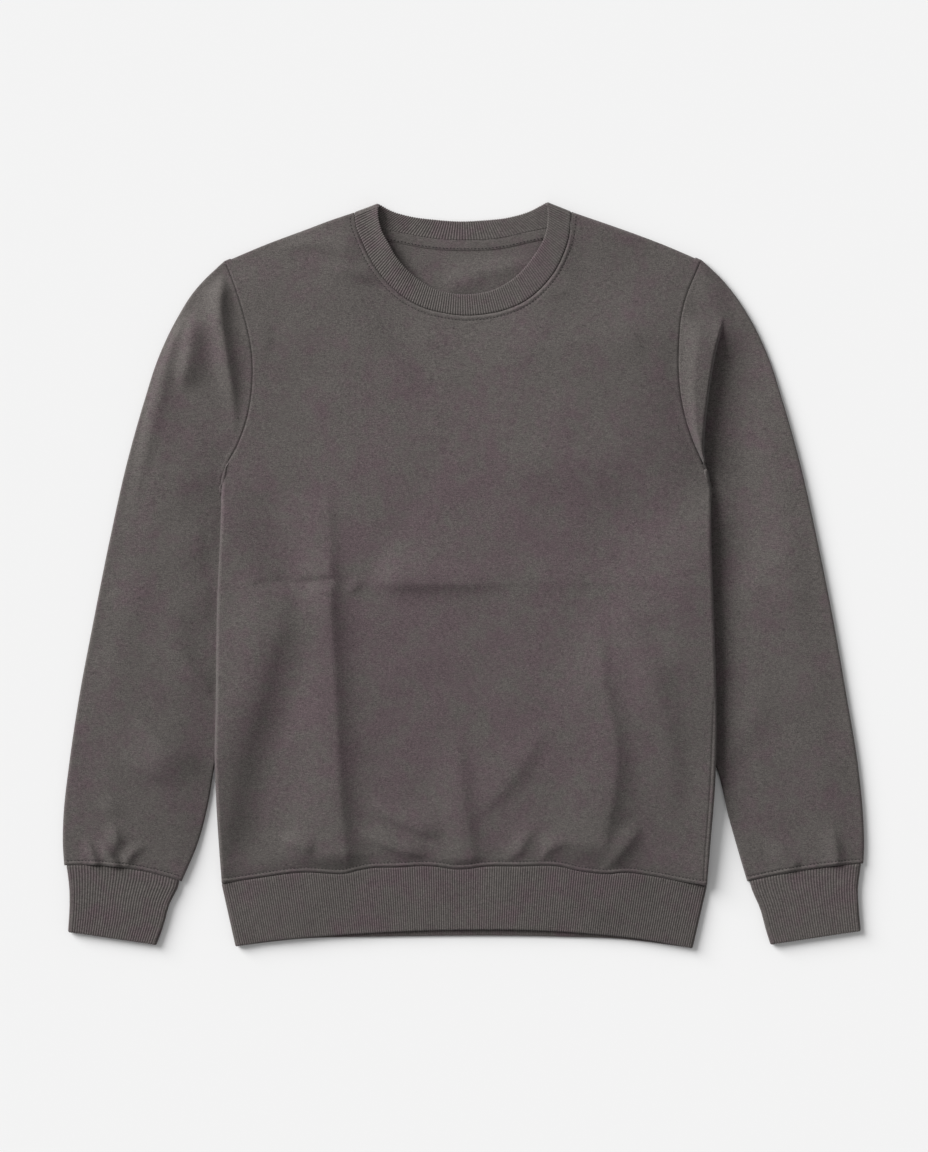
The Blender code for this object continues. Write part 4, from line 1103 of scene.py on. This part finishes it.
# %% One row round a flattened tube
def around(ribs_top, ribs_bottom, ribs_fold, fine_top=5, fine_bottom=3):
    """Places round a flattened tube and the number of ribs before each of them."""
    top = np.linspace(0, 1, ribs_top * fine_top + 1)
    fold = np.linspace(0, 1, ribs_fold * 4 + 1)[1:-1]
    bottom = np.linspace(0, 1, ribs_bottom * fine_bottom + 1)
    ribs = np.r_[top * ribs_top, ribs_top + fold * ribs_fold,
                 ribs_top + ribs_fold + bottom * ribs_bottom,
                 ribs_top + ribs_fold + ribs_bottom + fold * ribs_fold]
    return (top, fold, bottom), ribs


def tube_row(top, bottom, height, places, out=None):
    """Outer points and outward directions of one row round a flattened tube."""
    out = out or (unit(top[0] - top[1]), unit(top[-1] - top[-2]))
    radius = height / 2
    across, fold, back = places
    points, normals = [], []
    for line, level, face, share in ((top, height, 1, across), (bottom, 0.0, -1, 1 - back)):
        line = np.array(line, float)
        line[0], line[-1] = line[0] - out[0] * radius, line[-1] - out[1] * radius
        flat = np.column_stack([follow(line, share), np.full(len(share), level)])
        end = -1 if face > 0 else 0
        angle = face * QUARTER_TURN * (1 - 2 * fold)
        way = np.column_stack([np.outer(np.cos(angle), out[end]), np.sin(angle)])
        points += [flat, np.r_[line[end], radius] + radius * way]
        normals += [np.tile((0, 0, face), (len(share), 1)), way]
    return np.vstack(points), np.vstack(normals).astype(float)


# %% Profile of a band's wall
def band_profile(width):
    """Shares of a band's width and depths in its wall: outside, round the fold, and back."""
    r = RIB / 2
    out = spaced(width - r, 7.5, [(0, FINE, 2), (width - r, 1.2, 3)])
    turn = np.linspace(0, math.pi, 8)[1:-1]
    share = np.r_[out * (width - r), width - r + r * np.sin(turn),
                  np.linspace(width - r, 0, 7)] / width
    depth = np.r_[np.zeros(len(out)), r * (1 - np.cos(turn)), np.full(7, RIB)]
    depth += 0.6 * np.exp(-(share * width / 0.8) ** 2) * (depth < r)  # dips into the seam
    return share, depth


print("points round a band's wall:", len(band_profile(60)[0]))

# %% [markdown]
# The tree reads the stored number, turns it into a wave along the normal and sets the
# material. Its inputs are named, so the height of the rib can be changed in one place.

# %% Geometry Nodes that raise ribs
def finish_tree(tree, shape, given, end):
    """Ends a tree: real geometry in the given material."""
    realized = add(tree, "GeometryNodeRealizeInstances", {0: shape}).outputs[0]
    painted = add(tree, "GeometryNodeSetMaterial", {"Geometry": realized,
                                                    "Material": given["Material"]})
    fill(end, {"Geometry": painted.outputs[0]})
    return tree


def rib_tree():
    tree, given, end = group(
        "raise ribs", "GeometryNodeTree",
        {"Geometry": "Geometry", "Rib Height": "Float", "Material": "Material"},
        {"Geometry": "Geometry"})
    count = add(tree, "GeometryNodeInputNamedAttribute", {"Name": "rib"}).outputs[0]
    wave = maths(tree, "COSINE", maths(tree, "MULTIPLY", count, TURN))
    shaped = maths(tree, "MULTIPLY", wave, -0.5)  # from -0.5 in a groove to 0.5 on a rib
    normal = add(tree, "GeometryNodeInputNormal").outputs[0]
    offset = add(tree, "ShaderNodeVectorMath", {
        0: normal, "Scale": maths(tree, "MULTIPLY", shaped, given["Rib Height"])},
        operation="SCALE").outputs[0]
    moved = add(tree, "GeometryNodeSetPosition", {"Geometry": given["Geometry"],
                                                  "Offset": offset}).outputs[0]
    return finish_tree(tree, moved, given, end)


def applied(thing, tree, values):
    """Runs a Geometry Nodes tree on an object and keeps its result as a plain mesh."""
    modifier = thing.modifiers.new(tree.name, "NODES")
    modifier.node_group = tree
    sockets = {s.name: s.identifier for s in tree.interface.items_tree
               if s.item_type == "SOCKET" and s.in_out == "INPUT"}
    for name, value in values.items():
        modifier[sockets[name]] = value
    thing.update_tag()
    ready = thing.evaluated_get(bpy.context.evaluated_depsgraph_get())
    mesh = bpy.data.meshes.new_from_object(ready)
    thing.modifiers.remove(modifier)
    thing.data = mesh
    return thing


RAISE_RIBS = rib_tree()
RIB_HEIGHT = 0.55


# %% A whole band
def band(name, row_at, width, places_and_ribs, out=None, waves=None, loft=BAND_LOFT):
    """A rib band with a closed wall. row_at(share) gives the (top, bottom) lines of a row."""
    places, ribs = places_and_ribs
    grid = []
    for share, depth in zip(*band_profile(width)):
        points, normals = tube_row(*row_at(share), loft, places, out)
        if waves is not None:
            points[:, 2] += waves(points[:, 0], points[:, 1]) * (points[:, 2] / loft)
        grid.append(points - depth * normals + (0, 0, RIB_HEIGHT / 2))
    grid = np.array(grid)
    rows, columns = grid.shape[:2]
    number = np.pad(np.arange(rows * columns).reshape(rows, columns), ((0, 1), (0, 1)), "wrap")
    uv = cloth_uv(np.concatenate([grid, grid[:1]]), closed=True)
    piece = make(name, grid.reshape(-1, 3), quads_of(number), quads_of(uv), RIB_KNIT,
                 rib=np.tile(ribs, rows).astype(np.float32))
    return applied(piece, RAISE_RIBS, {"Rib Height": RIB_HEIGHT * MM, "Material": RIB_KNIT})


# %% Hem band
BAND_WIDTH, WAIST_RIBS = 60, 204
hem_line = front_points[-1, :, :2] - (0, SEAM)


def hem_row(share):
    shares = np.linspace(0, 1, 120)
    seam = follow(hem_line, shares)
    front_edge, back_edge = smooth_line(HEM_FRONT, shares), smooth_line(HEM_BACK, shares)
    return seam + share * (front_edge - seam), seam + share * (back_edge - seam)


def hem_waves(x, y):
    return uneven(x, y, 31, 70, 0.35)


waistband = band("waistband.rib", hem_row, BAND_WIDTH, around(WAIST_RIBS, WAIST_RIBS, 5),
                 waves=hem_waves)

# %% Cuffs
CUFF_RIBS = 38
cuffs = {}
evenly = np.linspace(0, 1, 60)
for side in SIGN:
    end = sleeve_points[side][-1, :HALF_ROUND + 1, :2]
    across = unit(end[-1] - end[0])
    trim = CUFF_GATHER / np.linalg.norm(end[-1] - end[0])
    down = np.array([across[1], -across[0]]) * (1 if across[0] > 0 else -1)
    seam = follow(end, np.linspace(trim, 1 - trim, 60)) + SEAM * down
    straight = follow(np.array([seam[0], seam[-1]]), evenly)
    order = 1 if side == "left" else -1

    def cuff_row(share):
        a = smooth_line([seam[0]] + CUFF_OUTER[side], [share])[0]
        b = smooth_line([seam[-1]] + CUFF_INNER[side], [share])[0]
        line = follow(np.array([a, b]), evenly) + (seam - straight) * (1 - soft(share / 0.6))
        return line[::order], line[::order]

    cuffs[side] = band(f"cuff_{side}.rib", cuff_row, BAND_WIDTH, around(CUFF_RIBS, CUFF_RIBS, 5))

# %% Seams and edges of the collar
COLLAR_WIDTH, COLLAR_LOFT, COLLAR_ENDS = 21, 7.2, 0.12
NECK_SEAM = {}
for name, grid, coarse in (("front", front_points, GRID), ("back", back_points, BACK_GRID)):
    first = ROLL_STEPS + len(shoulder_columns(coarse)) - 1
    NECK_SEAM[name] = grid[0, first:grid.shape[1] - first, :2]
round_neck = np.linspace(0, 1, 160)
seams, collar_edges = [], []
for line, table in zip(NECK_SEAM.values(), (COLLAR_FRONT, COLLAR_BACK)):
    line = line - SEAM * outward(line, COLLAR_CENTRE)
    line[0], line[-1] = NECK_SEAM["front"][0] + (SEAM, 0), NECK_SEAM["front"][-1] - (SEAM, 0)
    seams.append(follow(line, round_neck))
    # a rib runs from the seam to the nearest place of the edge, at the ends to the same share
    fine = smooth_line(table, np.linspace(0, 1, 900))
    across = np.linalg.norm(seams[-1][:, None] - fine[None], axis=2)
    nearest = np.maximum.accumulate(np.argmin(across, axis=1)) / 899
    by_ends = soft(np.minimum(round_neck, 1 - round_neck) / COLLAR_ENDS)
    share = np.maximum.accumulate(by_ends * nearest + (1 - by_ends) * round_neck)
    collar_edges.append(smooth_line(table, share))
collar_out = []
for end, turn in ((0, 1), (-1, -1)):
    crease = unit(collar_edges[0][end] - seams[0][end])
    collar_out.append(np.array([-crease[1], crease[0]]) * turn)
print("collar seams:", [curve_length(seam[::8]).round() for seam in seams], "mm")


# %% Collar
def collar_row(share):
    return tuple(seam + share * (edge - seam) for seam, edge in zip(seams, collar_edges))


COLLAR_CREST = [(-79, 352), (-76, 334), (-68, 311), (-52, 287), (-34, 276)]
CREST, CREST_WIDTH = 5.2, 9


def stands_up(x, y):
    """The left of the collar stands up beside the opening."""
    s, share, _ = to_line(x, y, COLLAR_CREST)
    return CREST * bump(s, 0, CREST_WIDTH) * soft(share / 0.2 + 0.5) * soft((1 - share) / 0.6)


collar = band("collar.rib", collar_row, COLLAR_WIDTH, around(128, 80, 5, 6, 6),
              tuple(collar_out), stands_up, COLLAR_LOFT)

# %% Neck tape
TAPE, TAPE_INSET, TAPE_WIDTH = 0.7, -0.4, 10.0
TAPE_OVER_BACK = 0.15
tape_seam = follow(NECK_SEAM["back"], np.linspace(0.04, 0.96, 90))
inward = -outward(tape_seam, (0, 0))
tape_shares = np.linspace(0, 1, 9)
tape_plan = np.array([tape_seam + (TAPE_INSET + share * (TAPE_WIDTH - TAPE_INSET)) * inward
                      for share in tape_shares])
under = np.dstack([tape_plan, np.full(tape_plan.shape[:2], FABRIC + TAPE_OVER_BACK)])
swell = TAPE * (0.55 + 0.45 * (1 - (2 * tape_shares - 1) ** 4))[:, None, None]
neck_tape = wall("neck_tape.cloth", under + swell * (0, 0, 1), under, FLEECE)

# %% [markdown]
# ## Topstitching
#
# Beside the neckline, the hem and the cuffs a line of short stitches holds the seam flat, and
# another one holds the neck tape. Each line starts as a plain path that is laid on the finished
# cloth by looking straight down on it. A Geometry Nodes tree then sets one stitch after another
# along the paths, each a low bead of few faces, with lengths that vary a little. The thread is
# painted far darker than the cloth, as painted shade of the needle holes.

# %% Geometry Nodes that sew
def stitch_tree():
    tree, given, end = group(
        "topstitch", "GeometryNodeTree",
        {"Geometry": "Geometry", "Spacing": "Float", "Length": "Float", "Thickness": "Float",
         "Seed": "Int", "Material": "Material"}, {"Geometry": "Geometry"})
    path = add(tree, "GeometryNodeMeshToCurve", {"Mesh": given["Geometry"]}).outputs[0]
    places = add(tree, "GeometryNodeCurveToPoints", {"Curve": path, "Length": given["Spacing"]},
                 mode="LENGTH").outputs
    along = add(tree, "FunctionNodeAlignRotationToVector", {"Vector": places["Tangent"]},
                axis="X").outputs[0]
    bead = add(tree, "GeometryNodeMeshUVSphere", {"Segments": 6, "Rings": 4, "Radius": 0.5})
    varied = add(tree, "FunctionNodeRandomValue", {2: 0.86, 3: 1.1, "Seed": given["Seed"]},
                 data_type="FLOAT").outputs[1]
    size = add(tree, "ShaderNodeCombineXYZ", {
        0: maths(tree, "MULTIPLY", varied, given["Length"]), 1: given["Thickness"],
        2: given["Thickness"]}).outputs[0]
    sewn_on = add(tree, "GeometryNodeInstanceOnPoints", {
        "Points": places["Points"], "Instance": bead.outputs["Mesh"], "Rotation": along,
        "Scale": size}).outputs[0]
    return finish_tree(tree, sewn_on, given, end)


STITCH_TREE = stitch_tree()


# %% Stitch paths on the cloth
def laid_on(piece, line):
    """A plan line with the height of a piece's surface below each of its points."""
    mesh = piece.data
    surface = BVHTree.FromPolygons([v.co for v in mesh.vertices],
                                   [tuple(face.vertices) for face in mesh.polygons])
    hits = [surface.ray_cast(Vector((x * MM, y * MM, 0.1)), Vector((0, 0, -1)))[0]
            for x, y in line]
    return [hit + Vector((0, 0, 0.0001)) for hit in hits if hit is not None]


def beside_seam(line, away, distance=STITCH_LINE, trim=5.0):
    """A line at a distance from a seam, on the side that leads away from a place."""
    line = follow(line, np.linspace(0, 1, 400))
    moved = line + distance * outward(line, away)
    total = lengths(moved)[-1]
    return follow(moved, np.linspace(trim / total, 1 - trim / total, int(total / 1.5)))


neckline = smooth_line(NECK_FRONT, np.linspace(0, 1, 400))
hem_stitched = front_points[-1, ROLL_STEPS:-ROLL_STEPS, :2]
stitch_lines = [
    laid_on(body_front, beside_seam(neckline, COLLAR_CENTRE)),
    laid_on(body_front, beside_seam(hem_stitched, (0, -1000))),
    laid_on(neck_tape, beside_seam(tape_seam, (0, 1000), TAPE_WIDTH - 1.5)),
]
for side in SIGN:
    cuff_seam = sleeve_points[side][-1, ROLL_STEPS:HALF_ROUND - ROLL_STEPS, :2]
    stitch_lines.append(laid_on(sleeve_pieces[side], beside_seam(cuff_seam, (0, -2000), trim=1.0)))
print("points along the stitch lines:", [len(line) for line in stitch_lines])

# %% Stitches
points, edges = [], []
for line in stitch_lines:
    edges += [(len(points) + k, len(points) + k + 1) for k in range(len(line) - 1)]
    points += line
path_mesh = bpy.data.meshes.new("topstitch")
path_mesh.from_pydata(points, edges, [])
topstitch = applied(put("topstitch", path_mesh), STITCH_TREE, {
    "Spacing": 3.3 * MM, "Length": 1.8 * MM, "Thickness": 1.0 * MM, "Seed": 4,
    "Material": THREAD_AND_HOLE_SHADE})
print("topstitching:", len(topstitch.data.polygons) // 24, "stitches")

# %% [markdown]
# ## Floor, light and camera
#
# The table is a plain pale floor. A wide soft window light comes from the upper left, and
# an even sky fills the shadows. The camera looks straight down.

# %% Floor
FLOOR, BELOW = 3.0, -0.0002  # metres, from the middle to a side, and just under the cloth
floor_mesh = bpy.data.meshes.new("floor")
floor_mesh.from_pydata([(x * FLOOR, y * FLOOR, BELOW)
                        for x, y in ((-1, -1), (1, -1), (1, 1), (-1, 1))], [], [(0, 1, 2, 3)])
floor = put("floor", floor_mesh)
paper, _, shader = new_look("pale paper")
fill(shader, {"Base Color": (0.9, 0.9, 0.9, 1), "Roughness": 0.92})
floor_mesh.materials.append(paper)
print("floor:", 2 * FLOOR, "m wide")

# %% Window light and sky
window = bpy.data.lights.new("window", "SUN")
window.angle, window.energy = math.radians(38), 4.26
LIGHT_HEIGHT = math.radians(28)
toward = Vector((*(TO_LIGHT * math.cos(LIGHT_HEIGHT)), math.sin(LIGHT_HEIGHT)))
put("window", window).rotation_euler = toward.to_track_quat("Z", "Y").to_euler()

world = bpy.data.worlds.new("sky")
world.use_nodes = True
fill(world.node_tree.nodes["Background"], {"Color": (1, 1, 1, 1), "Strength": 0.36})
scene = bpy.context.scene
scene.world = world
scene.view_settings.view_transform, scene.view_settings.look = "Standard", "None"
print("window light:", window.energy)

# %% Camera
camera_data = bpy.data.cameras.new("camera")
camera_data.lens, camera_data.clip_end = 131.6, 20
scene.camera = put("camera", camera_data)
scene.camera.location = (0.0005, -0.00095, 4.0)
print("camera:", scene.camera.location[2], "m up")

# %% [markdown]
# ## Tie the pieces to the model
#
# Nothing here moves, so every piece rides on the one body. Each piece stands for its solid,
# whose part is hidden, and the table lists its slot, the size its cloth was cut to and what it
# lies on.

# %% Ride and replace
# A sleeve's area is less than width times length, because it narrows towards the cuff.
CUT = {
    # piece: (node, slot, cut width and length in metres, area, what it lies on)
    body_front: ("body_front", "fleece", (0.480, 0.640), 0.262, ["body_back"]),
    body_back: ("body_back", "fleece", (0.480, 0.650), 0.281, ["floor"]),
    sleeve_pieces["left"]: ("sleeve_left", "fleece", (0.450, 0.570), 0.140, ["floor"]),
    sleeve_pieces["right"]: ("sleeve_right", "fleece", (0.450, 0.570), 0.140, ["floor"]),
    cuffs["left"]: ("cuff_left", "rib_knit", (0.205, 0.065), None, ["floor"]),
    cuffs["right"]: ("cuff_right", "rib_knit", (0.205, 0.065), None, ["floor"]),
    waistband: ("waistband", "rib_knit", (0.900, 0.066), None, ["floor"]),
    collar: ("collar", "rib_knit", (0.560, 0.023), None, ["floor"]),
    neck_tape: ("neck_tape", "fleece", (0.205, 0.010), None, ["body_back"]),
}
for piece, (node, slot, flat, area, lies_on) in CUT.items():
    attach(piece, "root")
    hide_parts(node)

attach(topstitch, "root")
